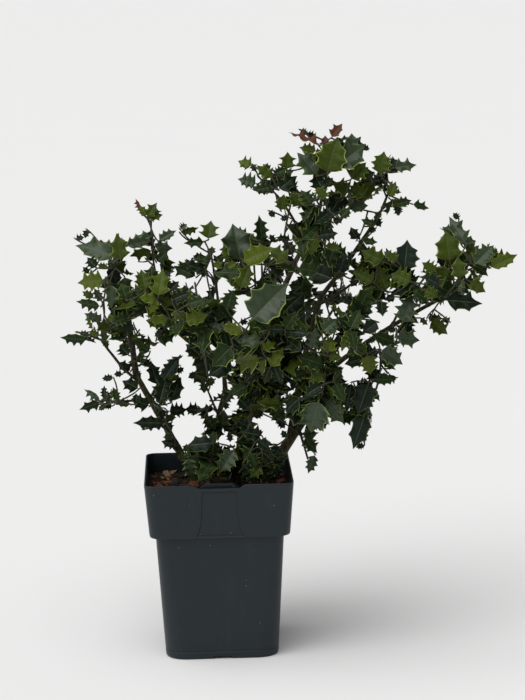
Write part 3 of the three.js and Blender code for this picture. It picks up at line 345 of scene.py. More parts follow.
# Leaves that show clearest from the front, by mass: where the stalk and the tip show, half
# the width, and the tone.
FRONT_LEAVES = {
    "leaves_top": (
        (327, 175, 337, 137, 17, "olive"), (334, 168, 366, 143, 13, "sheen"),
        (319, 146, 290, 129, 5, "bronze"), (331, 138, 342, 122, 5, "bronze"),
        (325, 147, 325, 135, 5, "bronze"), (318, 176, 297, 152, 9, "sheen"),
        (325, 193, 313, 172, 8, "dark"), (317, 151, 299, 147, 5, "olive"),
        (350, 180, 366, 162, 9, "olive"), (352, 150, 352, 133, 8, "sheen"),
        (310, 165, 327, 178, 6, "olive"), (287, 170, 288, 152, 7, "olive"),
        (299, 207, 291, 192, 6, "olive"), (350, 193, 333, 182, 9, "olive"),
    ),
    "leaves_upper_left": (
        (252, 166, 238, 160, 6, "young"), (257, 184, 238, 178, 7, "sheen"),
        (272, 187, 253, 190, 6, "mid"), (278, 190, 297, 175, 8, "dark"),
        (281, 211, 284, 194, 7, "olive"), (272, 178, 257, 165, 6, "olive"),
        (270, 170, 263, 164, 4, "mid"), (282, 180, 297, 190, 8, "dark"), (275, 174, 287, 168, 5, "mid"),
    ),
    "leaves_upper_right": (
        (380, 175, 384, 151, 9, "olive"), (393, 168, 417, 163, 6, "sheen"),
        (412, 204, 430, 208, 4, "mid"), (394, 205, 412, 200, 5, "mid"),
        (389, 198, 396, 181, 5, "olive"), (372, 181, 388, 178, 7, "dark"),
        (397, 206, 399, 216, 4, "dark"), (390, 190, 401, 192, 3, "mid"),
        (350, 206, 368, 205, 8, "sheen"), (365, 198, 350, 184, 7, "olive"),
        (357, 240, 351, 227, 5, "dark"), (375, 225, 361, 219, 4, "mid"),
    ),
    "leaves_left_spire": (
        (147, 218, 156, 202, 5, "olive"), (147, 218, 163, 214, 5, "olive"),
        (146, 217, 140, 205, 4, "young"), (141, 212, 134, 199, 2, "bronze"),
        (152, 236, 129, 243, 6, "sheen"), (158, 241, 176, 229, 5, "sheen"),
        (154, 246, 143, 230, 5, "dark"), (154, 246, 173, 248, 6, "sheen"),
        (153, 250, 128, 258, 4, "olive"), (156, 262, 167, 251, 6, "mid"),
    ),
    "leaves_rear_left": (
        (176, 233, 190, 221, 6, "sheen"), (208, 240, 211, 220, 8, "olive"),
        (241, 263, 233, 223, 15, "sheen"), (205, 242, 184, 243, 4, "mid"),
        (212, 262, 192, 257, 4, "mid"), (197, 277, 173, 265, 6, "mid"), (206, 270, 182, 263, 6, "dark"),
        (222, 268, 213, 262, 4, "young"), (228, 261, 222, 242, 3, "olive"),
        (226, 268, 237, 262, 4, "young"), (180, 233, 199, 228, 3, "olive"),
        (199, 262, 197, 252, 4, "mid"),
    ),
    "leaves_centre_front": (
        (242, 262, 272, 247, 10, "young"), (250, 322, 286, 282, 18, "sheen"),
        (270, 330, 254, 317, 7, "mid"), (288, 262, 268, 246, 7, "olive"),
        (263, 300, 262, 275, 8, "mid"), (243, 333, 221, 325, 6, "young"),
        (240, 290, 250, 262, 7, "olive"), (227, 310, 233, 290, 8, "mid"),
        (262, 343, 234, 337, 7, "sheen"),
    ),
    "leaves_upper_back": (
        (262, 243, 260, 216, 6, "mid"), (291, 240, 276, 237, 4, "dark"),
        (250, 245, 253, 233, 4, "olive"), (293, 256, 285, 240, 7, "sheen"),
    ),
    "leaves_front_left": (
        (184, 322, 208, 314, 7, "young"), (207, 326, 184, 330, 6, "mid"),
        (172, 300, 190, 292, 7, "dark"), (187, 305, 205, 298, 6, "mid"),
        (226, 330, 208, 323, 5, "sheen"),
    ),
    "leaves_inner_left": (
        (158, 298, 163, 267, 8, "young"), (157, 299, 139, 297, 5, "young"),
        (158, 299, 149, 314, 4, "young"), (158, 298, 173, 305, 5, "olive"),
        (146, 291, 141, 269, 8, "olive"), (170, 318, 146, 321, 4, "young"),
        (169, 291, 179, 281, 5, "dark"), (150, 285, 152, 264, 6, "mid"), (164, 330, 168, 308, 7, "mid"),
        (127, 300, 121, 283, 7, "mid"), (163, 326, 146, 320, 5, "young"),
    ),
    "leaves_left_crown": (
        (118, 258, 74, 240, 10, "sheen"), (121, 262, 117, 233, 8, "olive"),
        (125, 246, 152, 239, 6, "sheen"), (105, 280, 77, 282, 9, "young"),
        (97, 268, 87, 257, 7, "dark"), (107, 307, 70, 302, 4, "mid"), (110, 283, 112, 309, 6, "sheen"),
        (103, 321, 85, 313, 5, "sheen"), (118, 285, 109, 264, 7, "deep"),
        (102, 302, 94, 288, 4, "sheen"), (111, 331, 96, 322, 6, "olive"),
        (94, 298, 82, 291, 4, "olive"), (124, 276, 128, 296, 6, "mid"), (108, 268, 97, 264, 3, "olive"),
        (128, 318, 112, 322, 6, "mid"), (139, 304, 114, 306, 4, "young"),
        (118, 327, 128, 313, 5, "mid"),
    ),
    "leaves_left_tip": (
        (88, 340, 60, 338, 4, "mid"), (90, 335, 78, 332, 3, "mid"), (93, 330, 85, 315, 2, "olive"),
        (100, 335, 88, 331, 3, "olive"), (107, 341, 101, 330, 4, "mid"),
    ),
    "leaves_left_low": (
        (139, 389, 122, 380, 7, "dark"), (101, 402, 79, 410, 4, "dark"),
        (101, 401, 83, 390, 3, "sheen"), (104, 399, 104, 385, 3, "dark"),
        (118, 401, 113, 387, 4, "mid"), (122, 379, 95, 377, 3, "dark"),
        (131, 405, 112, 400, 4, "olive"), (106, 405, 98, 410, 3, "mid"),
        (136, 404, 136, 393, 4, "dark"),
    ),
    "leaves_left_foot": (
        (166, 423, 134, 423, 6, "dark"), (176, 445, 161, 441, 5, "dark"),
        (172, 437, 163, 437, 3, "mid"), (168, 412, 188, 409, 6, "dark"),
    ),
    "leaves_left_fork": (
        (159, 405, 167, 373, 8, "dark"), (170, 403, 181, 376, 7, "dark"),
        (157, 386, 151, 360, 6, "dark"), (164, 380, 178, 356, 7, "deep"),
        (150, 406, 131, 399, 7, "dark"),
    ),
    "leaves_low_front": (
        (213, 443, 186, 445, 8, "deep"), (235, 449, 219, 473, 9, "sheen"),
        (188, 457, 192, 481, 6, "sheen"), (204, 446, 205, 464, 7, "dark"),
    ),
    "leaves_low_centre": (
        (262, 436, 241, 431, 7, "dark"), (262, 452, 275, 462, 6, "dark"),
        (250, 418, 266, 410, 7, "mid"), (243, 463, 257, 482, 8, "dark"), (250, 452, 257, 470, 6, "mid"),
        (262, 466, 250, 478, 5, "olive"), (270, 448, 284, 456, 6, "dark"),
        (272, 466, 282, 478, 6, "dark"), (258, 440, 270, 450, 6, "deep"),
    ),
    "leaves_right_tip": (
        (450, 263, 446, 231, 12, "olive"), (466, 245, 449, 215, 7, "sheen"),
        (489, 268, 518, 253, 7, "young"), (474, 265, 494, 244, 9, "sheen"),
        (465, 260, 479, 245, 7, "olive"), (460, 280, 458, 257, 7, "olive"),
        (469, 281, 486, 292, 7, "olive"), (444, 300, 483, 303, 9, "dark"),
        (462, 244, 476, 240, 5, "sheen"), (472, 263, 489, 275, 6, "mid"),
        (448, 271, 438, 253, 5, "dark"), (430, 320, 448, 334, 8, "olive"),
        (455, 233, 442, 226, 4, "mid"), (452, 272, 424, 271, 4, "olive"),
        (427, 318, 443, 318, 4, "mid"),
    ),
    "leaves_right_up": (
        (402, 324, 412, 295, 9, "sheen"), (412, 282, 391, 273, 9, "olive"),
        (390, 336, 425, 341, 8, "sheen"), (440, 286, 425, 276, 8, "deep"),
        (428, 300, 413, 290, 6, "mid"), (424, 290, 438, 296, 6, "olive"),
        (420, 318, 428, 325, 3, "mid"), (436, 272, 423, 262, 6, "olive"),
    ),
    "leaves_mid_right": (
        (404, 272, 408, 240, 13, "deep"), (384, 262, 361, 250, 8, "olive"),
        (387, 292, 378, 265, 9, "olive"), (374, 283, 353, 271, 7, "olive"),
        (398, 262, 384, 251, 5, "olive"), (362, 241, 378, 242, 4, "mid"),
        (378, 270, 372, 250, 6, "mid"), (340, 272, 345, 254, 7, "deep"),
    ),
    "leaves_right_low": (
        (380, 349, 404, 364, 9, "sheen"), (367, 354, 371, 375, 9, "young"),
        (369, 382, 358, 414, 11, "deep"), (366, 412, 353, 450, 9, "deep"),
        (372, 380, 397, 379, 5, "mid"), (371, 387, 379, 401, 3, "dark"), (364, 358, 344, 364, 7, "mid"),
        (380, 358, 396, 370, 4, "mid"), (352, 382, 346, 408, 7, "deep"), (396, 344, 372, 333, 7, "mid"),
    ),
    "leaves_low_right": (
        (319, 399, 310, 434, 13, "sheen"), (323, 400, 344, 423, 9, "sheen"),
        (325, 374, 309, 381, 6, "olive"), (322, 385, 305, 395, 8, "dark"),
        (334, 382, 345, 402, 6, "mid"), (300, 398, 284, 412, 8, "dark"),
    ),
    "leaves_hanging": (
        (304, 437, 317, 453, 6, "mid"), (315, 454, 308, 474, 5, "sheen"),
    ),
    "leaves_front_right": (
        (328, 353, 331, 336, 8, "young"), (328, 353, 340, 345, 5, "young"),
        (327, 354, 322, 343, 5, "young"), (325, 366, 298, 355, 9, "mid"),
        (310, 350, 317, 328, 6, "sheen"), (322, 332, 338, 318, 8, "sheen"),
        (328, 356, 342, 357, 6, "olive"), (378, 322, 362, 333, 8, "deep"),
        (350, 330, 360, 309, 7, "mid"),
    ),
    "leaves_upper_front": (
        (318, 236, 338, 232, 7, "dark"), (326, 199, 317, 187, 7, "olive"),
        (312, 205, 302, 190, 7, "mid"), (340, 218, 350, 207, 6, "mid"), (302, 240, 318, 224, 7, "mid"),
        (325, 245, 341, 248, 4, "olive"),
    ),
    "leaves_centre_mid": (
        (248, 427, 234, 419, 6, "dark"), (238, 398, 250, 411, 6, "dark"),
        (252, 404, 239, 391, 6, "mid"), (262, 358, 228, 363, 6, "young"),
        (270, 368, 283, 346, 6, "young"), (283, 405, 258, 401, 6, "olive"),
        (262, 350, 276, 341, 5, "young"), (248, 385, 230, 395, 7, "mid"),
        (290, 378, 307, 372, 6, "mid"), (258, 372, 243, 382, 7, "dark"), (285, 330, 296, 311, 7, "mid"),
    ),
    "leaves_back_left": (
        (131, 371, 117, 362, 5, "dark"), (150, 352, 139, 345, 6, "mid"),
    ),
    "leaves_low_left": (
        (222, 428, 224, 410, 6, "mid"), (205, 416, 216, 430, 7, "mid"), (202, 411, 182, 408, 6, "dark"),
    ),
}

FRONT_SHARES = (0, 0.25, 0.5, 0.12, 0.38, 0.75, 1)     # how deep in its mass a leaf tries to sit
FILL_SHARES = (0.3, 0.6, 0, 0.85)
WOOD_TRIES = 16                 # places on the wood that a leaf's own twig tries to spring from
WOOD_STEP = 4
WOOD_START = 0.06               # share of a twig's length where such places start
WOOD_REACH = 45                 # the longest twig of its own that a leaf may have
OWN_TWIG_RADIUS = (0.95, 0.7)
OWN_TWIG_CURL = 0.25            # how much such a twig turns into its leaf's own direction
LEAST_OWN_TWIG = 2
SIGHT_REACH = 110               # how far before and behind its mass's middle a leaf may be placed
SIGHT_STEP = 2.0
MOST_HIDDEN = 8                 # sample points of a leaf that may stand before a placed leaf
FRONT_REACH = 1.04              # share of its mass's reach that a placed leaf keeps to
FRONT_WIDEN = 1.25
FRONT_LEAN = (0.5, 0.35)        # spread of a placed leaf's lean to the front, and share that lean back
FRONT_ROOM = (0.72, 0.1)        # how far out its stalk may always start, and past the innermost place
FRONT_SLANT = (1.6, 6)          # most it runs to or from the front: share of what shows, and more
FRONT_UP = 0.3                  # how much it faces up
FRONT_WIDTHS = (0.5, 0.95)
FRONT_ROLL_UP = 0.7             # share of the placed leaves that roll one way and not the other
FRONT_TWIST = 0.5               # what is left of their drawn twist, and of a big leaf's spines
SMOOTH_SPINE = 0.45
FRONT_SHRINK = (1, 0.85, 0.7)
BIG_HALF = 9                    # half width of the big leaves, whose margins are smoother
FILL_ACROSS = (60, 508)         # the part of the view where the crown is closed
FILL_DOWN = (120, 478)
FILL_STEP = 2                   # view units between the places where the crown is closed
FILL_FAR = (2150, 2501, 5.0)    # how far from the camera its masses are looked for
FILL_LENGTHS = (30, 22, 16, 12, 9)
FILL_SLACK = 4                  # of a leaf's sample points, how many may reach over the open sky
FILL_MASSES = 6                 # how many of the nearest masses may close a place
FILL_SLIM = 0.6                 # as SLIM_SHARE, for a leaf that closes the crown
FILL_HALF = 0.36                # half width of a leaf that closes the crown, as a share of its length
FILL_TURNS = (90, 150, 30, 210, -30, 270)


# --- Mesh helpers ---


def mesh_object(name, bm, materials, smooth_angle):
    """Turns a bmesh into a piece with its materials, shaded smooth up to an angle."""
    mesh = bpy.data.meshes.new(name)
    bm.to_mesh(mesh)
    bm.free()
    return finished_object(name, mesh, materials, smooth_angle)


def finished_object(name, mesh, materials, smooth_angle):
    piece = bpy.data.objects.new(name, mesh)
    bpy.context.scene.collection.objects.link(piece)
    for material in materials:
        mesh.materials.append(material)
    mesh.shade_smooth()
    mesh.set_sharp_from_angle(angle=math.radians(smooth_angle))
    return piece


def joined_object(name, points, faces, materials, smooth_angle, face_materials=None):
    """A piece joined from many small repeated shapes, given as arrays in millimetres."""
    mesh = bpy.data.meshes.new(name)
    mesh.from_pydata((points * MM).tolist(), [], faces)
    if face_materials is not None:
        mesh.polygons.foreach_set("material_index", np.asarray(face_materials, dtype=np.int32))
    mesh.update()
    return finished_object(name, mesh, materials, smooth_angle)


def point_attribute(mesh, name, values):
    layer = mesh.attributes.new(name, "FLOAT", "POINT")
    layer.data.foreach_set("value", np.asarray(values, dtype=np.float32))


def stand_for(piece, slot, *nodes):
    """Lets a piece ride with the plant and stand for solids. The slot it is given is not used."""
    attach(piece, "root")
    if nodes:
        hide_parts(*nodes)
    return piece


def lerp(a, b, share):
    return a + (b - a) * share


def as_rows(vectors):
    return np.array([tuple(vector) for vector in vectors])


def joined(parts):
    """The points and faces of many parts as one list each."""
    points, faces = [], []
    for more, their in parts:
        faces += [[i + len(points) for i in face] for face in their]
        points += more
    return points, faces


# --- Shader helpers ---


class Wire:
    """A value socket that takes part in Python arithmetic."""

    def __init__(self, sketch, socket):
        self.sketch = sketch
        self.socket = socket

    def _math(self, operation, first, second):
        return self.sketch.node("ShaderNodeMath", {"operation": operation}, (first, second))

    def __add__(self, other):
        return self._math("ADD", self, other)

    def __sub__(self, other):
        return self._math("SUBTRACT", self, other)

    def __rsub__(self, other):
        return self._math("SUBTRACT", other, self)

    def __mul__(self, other):
        return self._math("MULTIPLY", self, other)


class Sketch:
    """A material's nodes. The node method adds any node and returns its first or named output."""

    def __init__(self, name):
        self.material = bpy.data.materials.new(name)
        self.material.use_nodes = True
        self.tree = self.material.node_tree
        self.tree.nodes.clear()
        self.output = self.tree.nodes.new("ShaderNodeOutputMaterial")

    def _give(self, socket, value):
        """Links a wire to a socket or sets the socket's own value. A colour is given without alpha."""
        if isinstance(value, Wire):
            self.tree.links.new(value.socket, socket)
        else:
            socket.default_value = (*value, 1) if socket.type == "RGBA" else value

    def node(self, kind, settings=None, inputs=(), output=0):
        made = self.tree.nodes.new(kind)
        for key, value in (settings or {}).items():
            setattr(made, key, value)
        for key, value in inputs.items() if isinstance(inputs, dict) else enumerate(inputs):
            self._give(made.inputs[key], value)
        return Wire(self, made.outputs[output])

    def place(self, scale=(1, 1, 1)):
        spot = self.node("ShaderNodeTexCoord", output="Object")
        return self.node("ShaderNodeMapping", {}, {"Vector": spot, "Scale": scale})

    def noise(self, scale, detail=3, roughness=0.55, at=None):
        return self.node(
            "ShaderNodeTexNoise", {},
            {"Vector": at or self.place(), "Scale": scale, "Detail": detail, "Roughness": roughness},
        )

    def ramp(self, value, low, high, first=0):
        """Turns from black to white between two values, or from white to black."""
        made = self.node("ShaderNodeValToRGB", {}, (value,))
        elements = made.socket.node.color_ramp.elements
        for element, place, grey in zip(elements, (low, high), (first, 1 - first)):
            element.position = place
            element.color = (grey, grey, grey, 1)
        return made

    def mix(self, factor, first, second):
        made = self.tree.nodes.new("ShaderNodeMix")
        made.data_type = "RGBA"
        for index, value in ((0, factor), (6, first), (7, second)):
            self._give(made.inputs[index], value)
        return Wire(self, made.outputs[2])

    def attribute(self, name):
        return self.node("ShaderNodeAttribute", {"attribute_name": name}, output="Fac")

    def bump(self, height, distance, strength=1.0):
        inputs = {"Height": height, "Distance": distance, "Strength": strength}
        return self.node("ShaderNodeBump", {}, inputs, output="Normal")

    def finish(self, **inputs):
        shader = self.tree.nodes.new("ShaderNodeBsdfPrincipled")
        for key, value in inputs.items():
            name = key.replace("_", " ").title().replace("Ior", "IOR")
            self._give(shader.inputs[name], value)
        self.tree.links.new(shader.outputs[0], self.output.inputs[0])
        return self.material


def tint(colour, times, plus=0):
    """A colour made stronger or weaker."""
    return tuple(min(1, c * times + plus) for c in colour)


# --- Limbs ---


def direction(heading, rise):
    turn, tilt = math.radians(heading), math.radians(rise)
    level = math.cos(tilt)
    return Vector((level * math.cos(turn), level * math.sin(turn), math.sin(tilt)))


def level_across(along):
    """A direction square to another: a level one, unless the other is near upright."""
    aside = Vector((1, 0, 0)) if abs(along.z) > 0.95 else UP
    return along.cross(aside).normalized()


class Bow:
    """A curve through three control points."""

    def __init__(self, start, middle, end):
        self.start, self.middle, self.end = start, middle, end

    def at(self, share):
        rest = 1 - share
        return rest * rest * self.start + 2 * rest * share * self.middle + share * share * self.end

    def along(self, share):
        return ((1 - share) * (self.middle - self.start) + share * (self.end - self.middle)).normalized()


def limb_curve(start, plan):
    end = start + direction(plan["heading"], plan["rise"]) * plan["length"]
    aside = direction(plan["heading"] + 90, 0) * (2 * plan["side"]) + UP * (2 * plan["lift"])
    return Bow(start, (start + end) / 2 + aside, end)


def plant_limbs():
    """Every stem and bough: its curve, and its radius at a share of its length."""
    limbs = {}
    for name, plan in {**STEMS, **BOUGHS}.items():
        if name in STEMS:
            start = Vector((*plan["foot"], SOIL_LEVEL))
        else:
            start = limbs[plan["on"]]["curve"].at(plan["at"])
        limbs[name] = dict(curve=limb_curve(start, plan), plan=plan)
    return limbs


def limb_radius(plan, share):
    thick, thin = plan["radius"]
    return lerp(thick, thin, share) + plan["flare"] * math.exp(-share * plan["length"] / 9)


LIMBS = plant_limbs()


# --- Growth of twigs and leaves ---

MASK = 0xFFFFFFFF


def random_stream(seed):
    """A repeatable stream of numbers from 0 to 1."""
    state = seed & MASK

    def draw():
        nonlocal state
        state = (state + 0x6D2B79F5) & MASK
        mixed = ((state ^ (state >> 15)) * (1 | state)) & MASK
        mixed = ((mixed + (((mixed ^ (mixed >> 7)) * (61 | mixed)) & MASK)) & MASK) ^ mixed
        return (mixed ^ (mixed >> 14)) / 4294967296

    return draw


class Cells:
    """The space of every mass: all points within its reach of a line."""

    def __init__(self):
        self.names = list(MASSES)
        self.starts, self.ends, self.alongs, self.cores, self.reaches = [], [], [], [], []
        for plan in MASSES.values():
            start = LIMBS[plan["on"]]["curve"].at(plan["at"])
            along = direction(plan["heading"], plan["rise"])
            inset = TIP_INSET * plan["reach"]
            core = max(plan["length"] - inset, LEAST_CORE * plan["length"])
            self.starts.append(start)
            self.ends.append(start + along * core)
            self.alongs.append(along)
            self.cores.append(core)
            self.reaches.append(plan["reach"])
        self._a = as_rows(self.starts)
        self._ab = as_rows(self.ends) - self._a
        self._len2 = (self._ab ** 2).sum(1)
        self._reach = np.array(self.reaches, float)

    def depths(self, points):
        """Distance of each point from each mass's line, as a share of that mass's reach."""
        off = points[:, None, :] - self._a[None]
        share = np.clip((off * self._ab).sum(2) / self._len2, 0, 1)
        return np.linalg.norm(off - share[..., None] * self._ab, axis=2) / self._reach

    def depth(self, index, points):
        """Distance of each point from one mass's line, as a share of its reach."""
        off = points - self._a[index]
        share = np.clip(off @ self._ab[index] / self._len2[index], 0, 1)
        return np.linalg.norm(off - share[:, None] * self._ab[index], axis=1) / self._reach[index]

    def beyond(self, index, spot):
        """Whether one point is out of a mass's reach."""
        off, line = spot - self.starts[index], self.ends[index] - self.starts[index]
        share = min(1, max(0, off.dot(line) / line.dot(line)))
        return (off - line * share).length > self.reaches[index]

    def owns(self, index, points):
        """Whether points lie in a mass's reach, and not much deeper in another mass."""
        depths = self.depths(points)
        own = depths[:, index].copy()
        if own.max() > 1:
            return False
        depths[:, index] = np.inf
        return (depths.min(1) > own + NEIGHBOUR_SLACK).all()


def branch_off(along, angle, turn):
    """A direction leaning away from a stem by an angle, turned round it by another."""
    across = level_across(along)
    across.rotate(Quaternion(along, math.radians(turn)))
    lean = math.radians(angle)
    return (along * math.cos(lean) + across * math.sin(lean)).normalized()


# A leaf's materials in their order, and those of the strips across its upper side.
UPPER, MARGIN, RIB, UNDER = range(4)
STRIP_KINDS = (MARGIN, UPPER, UPPER, RIB, UPPER, UPPER, MARGIN)


def leaf_template(columns, rows):
    """A leaf's points, its faces and their materials. Both sheets share their rim, and the ends
    are single points."""
    points = [(0.0, 0.0, 0.0, 0.0, 0.0, 0.0)]
    for share, body, spine, lift in columns:
        for side in rows:
            level = 0 if abs(side) == 1 else 1
            points.append((share, side, body, spine, lift, level))
        points.append((share, 0.0, body, spine, lift, -1))
    points.append((1.0, 0.0, 0.0, 0.0, 0.0, 0.0))
    wide = len(rows) + 1
    last = len(points) - 1
    faces, kinds = [], []

    def column(index):
        first = 1 + wide * index
        top = list(range(first, first + len(rows)))
        return top, [top[0], first + len(rows), top[-1]]

    for index in range(-1, len(columns)):
        near = column(index) if index >= 0 else None
        far = column(index + 1) if index + 1 < len(columns) else None
        stalk = index + 1 < STALK_COLUMNS
        for sheet in (0, 1):
            count = len(rows) - 1 if sheet == 0 else 2
            for j in range(count):
                kind = RIB if stalk else (STRIP_KINDS[j] if sheet == 0 else UNDER)
                if near is None:
                    face = [0, far[sheet][j + 1], far[sheet][j]]
                elif far is None:
                    face = [near[sheet][j], near[sheet][j + 1], last]
                else:
                    face = [near[sheet][j], near[sheet][j + 1], far[sheet][j + 1], far[sheet][j]]
                faces.append(face if sheet == 0 else face[::-1])
                kinds.append(kind)
    return np.array(points), faces, kinds


# The whole leaves, a plain one that tells what a leaf meets, and one that tells what it hides.
FULL_LEAVES = {
    "long": leaf_template(LONG_COLUMNS, LEAF_ROWS),
    "broad": leaf_template(BROAD_COLUMNS, LEAF_ROWS),
}
ROUGH_LEAF = leaf_template([LONG_COLUMNS[i] for i in (2, 3, 6, 9)], (-1, 0, 1))
PATCH_LEAF = leaf_template(LONG_COLUMNS[1:], (-1, -0.6, -0.2, 0.2, 0.6, 1))


def leaf_points(template, leaves):
    """The points of many leaves at once, from their frames and shapes."""
    def get(key):
        return np.array([leaf[key] for leaf in leaves])[:, None]

    share, side, body, spine, lift, level = template[0].T
    reach = np.abs(side)
    wide = 0.5 * get("width") * (body + spine * get("spine"))
    forward = share + SPINE_HOOK * spine.clip(0) / SPINE_SIZE * (reach - SPINE_ROOT) * get("spine")
    y = side * wide
    z = wide * (get("fold") * reach + get("cushion") * np.sin(math.pi * reach))
    z = z + lift * get("wave") * reach ** 2 + level * LEAF_THICKNESS * (1 - 0.5 * reach)
    z = z - get("droop") * share ** 2
    turn = get("twist") * (share - TWIST_START)
    y, z = y * np.cos(turn) - z * np.sin(turn), y * np.sin(turn) + z * np.cos(turn)
    root, along, across, face = (
        as_rows(leaf[key] for leaf in leaves)[:, None, :] for key in ("root", "along", "across", "face")
    )
    length = get("length")[..., None]
    return root + length * (forward[..., None] * along + y[..., None] * across + z[..., None] * face)


def leaf_tip(leaf):
    """Where a leaf's tip ends up once it droops and twists."""
    turn = (1 - TWIST_START) * leaf["twist"]
    sag = leaf["across"] * math.sin(turn) - leaf["face"] * math.cos(turn)
    return leaf["root"] + (leaf["along"] + sag * leaf["droop"]) * leaf["length"]


def leaf_frame(root, along, twig_along, length, roll):
    facing = twig_along * FACE_FORWARD + UP * FACE_UP
    across = facing.cross(along).normalized()
    face = along.cross(across).normalized()
    spin = Quaternion(along, roll)
    across.rotate(spin)
    face.rotate(spin)
    return dict(root=root, along=along, across=across, face=face, length=length)


def bvh_of(points, faces):
    return BVHTree.FromPolygons([Vector(p) for p in points], faces, epsilon=0.0)


def tube_arrays(curve, radius_at, sides, steps):
    """Points and faces of a closed tube along a curve, with a point at each end."""
    level = level_across((curve.end - curve.start).normalized())
    points, faces = [curve.at(0)], []
    for i in range(steps + 1):
        share = i / steps
        along = curve.along(share)
        over = level.cross(along).normalized()
        across = along.cross(over)
        centre, radius = curve.at(share), radius_at(share)
        for j in range(sides):
            turn = 2 * math.pi * j / sides
            points.append(centre + across * (radius * math.cos(turn)) + over * (radius * math.sin(turn)))
    points.append(curve.at(1) + curve.along(1) * radius_at(1))
    last = len(points) - 1
    for j in range(sides):
        k = (j + 1) % sides
        faces.append([0, 1 + j, 1 + k])
        for i in range(steps):
            a = 1 + i * sides
            faces.append([a + k, a + j, a + sides + j, a + sides + k])
        a = 1 + steps * sides
        faces.append([a + j, last, a + k])
    return points, faces


def view_axes():
    """The directions to the right, up and ahead in the front view."""
    turn, pitch, roll = (math.radians(v) for v in (CAMERA_TURN, CAMERA_PITCH, CAMERA_ROLL))
    ahead = -Vector((math.sin(turn) * math.cos(pitch), -math.cos(turn) * math.cos(pitch), math.sin(pitch)))
    right = ahead.cross(UP).normalized()
    above = right.cross(ahead)
    side = right * math.cos(roll) + above * math.sin(roll)
    return side, above * math.cos(roll) - right * math.sin(roll), ahead


VIEW_SIDE, VIEW_TOP, VIEW_AHEAD = view_axes()
VIEW_SCALE = VIEW_HEIGHT * CAMERA_LENS / FILM_HEIGHT


def within_outline(outline, u, v):
    """Which places lie inside a closed outline."""
    inside = np.zeros(u.shape, bool)
    for (u0, v0), (u1, v1) in zip(outline, outline[1:] + outline[:1]):
        if v0 != v1:
            inside ^= ((v0 > v) != (v1 > v)) & (u < u0 + (v - v0) * (u1 - u0) / (v1 - v0))
    return inside


class FrontView:
    """What the front shows: where the sky is open, and how far off the placed leaves are."""

    def __init__(self):
        self.axes = as_rows((VIEW_SIDE, VIEW_TOP, VIEW_AHEAD)).T
        u, v = np.meshgrid(np.arange(VIEW_WIDTH) + 0.5, np.arange(VIEW_HEIGHT) + 0.5)
        self.sky = ~within_outline(CROWN_OUTLINE, u, v)
        for x, y, radius in SKY_SPOTS:
            self.sky |= np.hypot(u - x, v - y) < radius
        self.placed = np.full(u.shape, np.inf)
        self.covered = np.zeros(u.shape, bool)

    def seen(self, points):
        """Where points show in the view, and how far off they are."""
        side, top, far = ((points - CAMERA_SPOT) @ self.axes).T
        u = (VIEW_WIDTH / 2 + VIEW_SCALE * side / far).astype(int).clip(1, VIEW_WIDTH - 2)
        v = (VIEW_HEIGHT / 2 - VIEW_SCALE * top / far).astype(int).clip(1, VIEW_HEIGHT - 2)
        return u, v, far

    def spots(self, u, v, far):
        """The points that show at one place in the view, at each distance."""
        sight = self.axes @ ((u - VIEW_WIDTH / 2) / VIEW_SCALE, (VIEW_HEIGHT / 2 - v) / VIEW_SCALE, 1)
        return np.array(CAMERA_SPOT) + np.asarray(far)[:, None] * sight

    def open_along(self, points):
        """How many of the points show in front of the open sky."""
        u, v, _ = self.seen(points)
        return self.sky[v, u].sum()

    def open_at(self, spot):
        """Whether one point shows in front of the open sky."""
        sight = spot - Vector(CAMERA_SPOT)
        scale = VIEW_SCALE / sight.dot(VIEW_AHEAD)
        u = VIEW_WIDTH / 2 + scale * sight.dot(VIEW_SIDE)
        return self.sky[int(VIEW_HEIGHT / 2 - scale * sight.dot(VIEW_TOP)), int(u)]

    def suits(self, leaf, slack=0):
        """Whether a leaf keeps out of the open sky and hides little of a placed leaf."""
        u, v, far = self.seen(leaf_points(PATCH_LEAF, [leaf])[0])
        placed = self.placed[v, u]
        return self.sky[v, u].sum() <= slack and (far < placed - 1)[placed < np.inf].sum() < MOST_HIDDEN

    def cover(self, leaf, placed):
        u, v, far = self.seen(leaf_points(PATCH_LEAF, [leaf])[0])
        for across in (-1, 0, 1):
            for down in (-1, 0, 1):
                self.covered[v + down, u + across] = True
                if placed:
                    np.minimum.at(self.placed, (v + down, u + across), far)


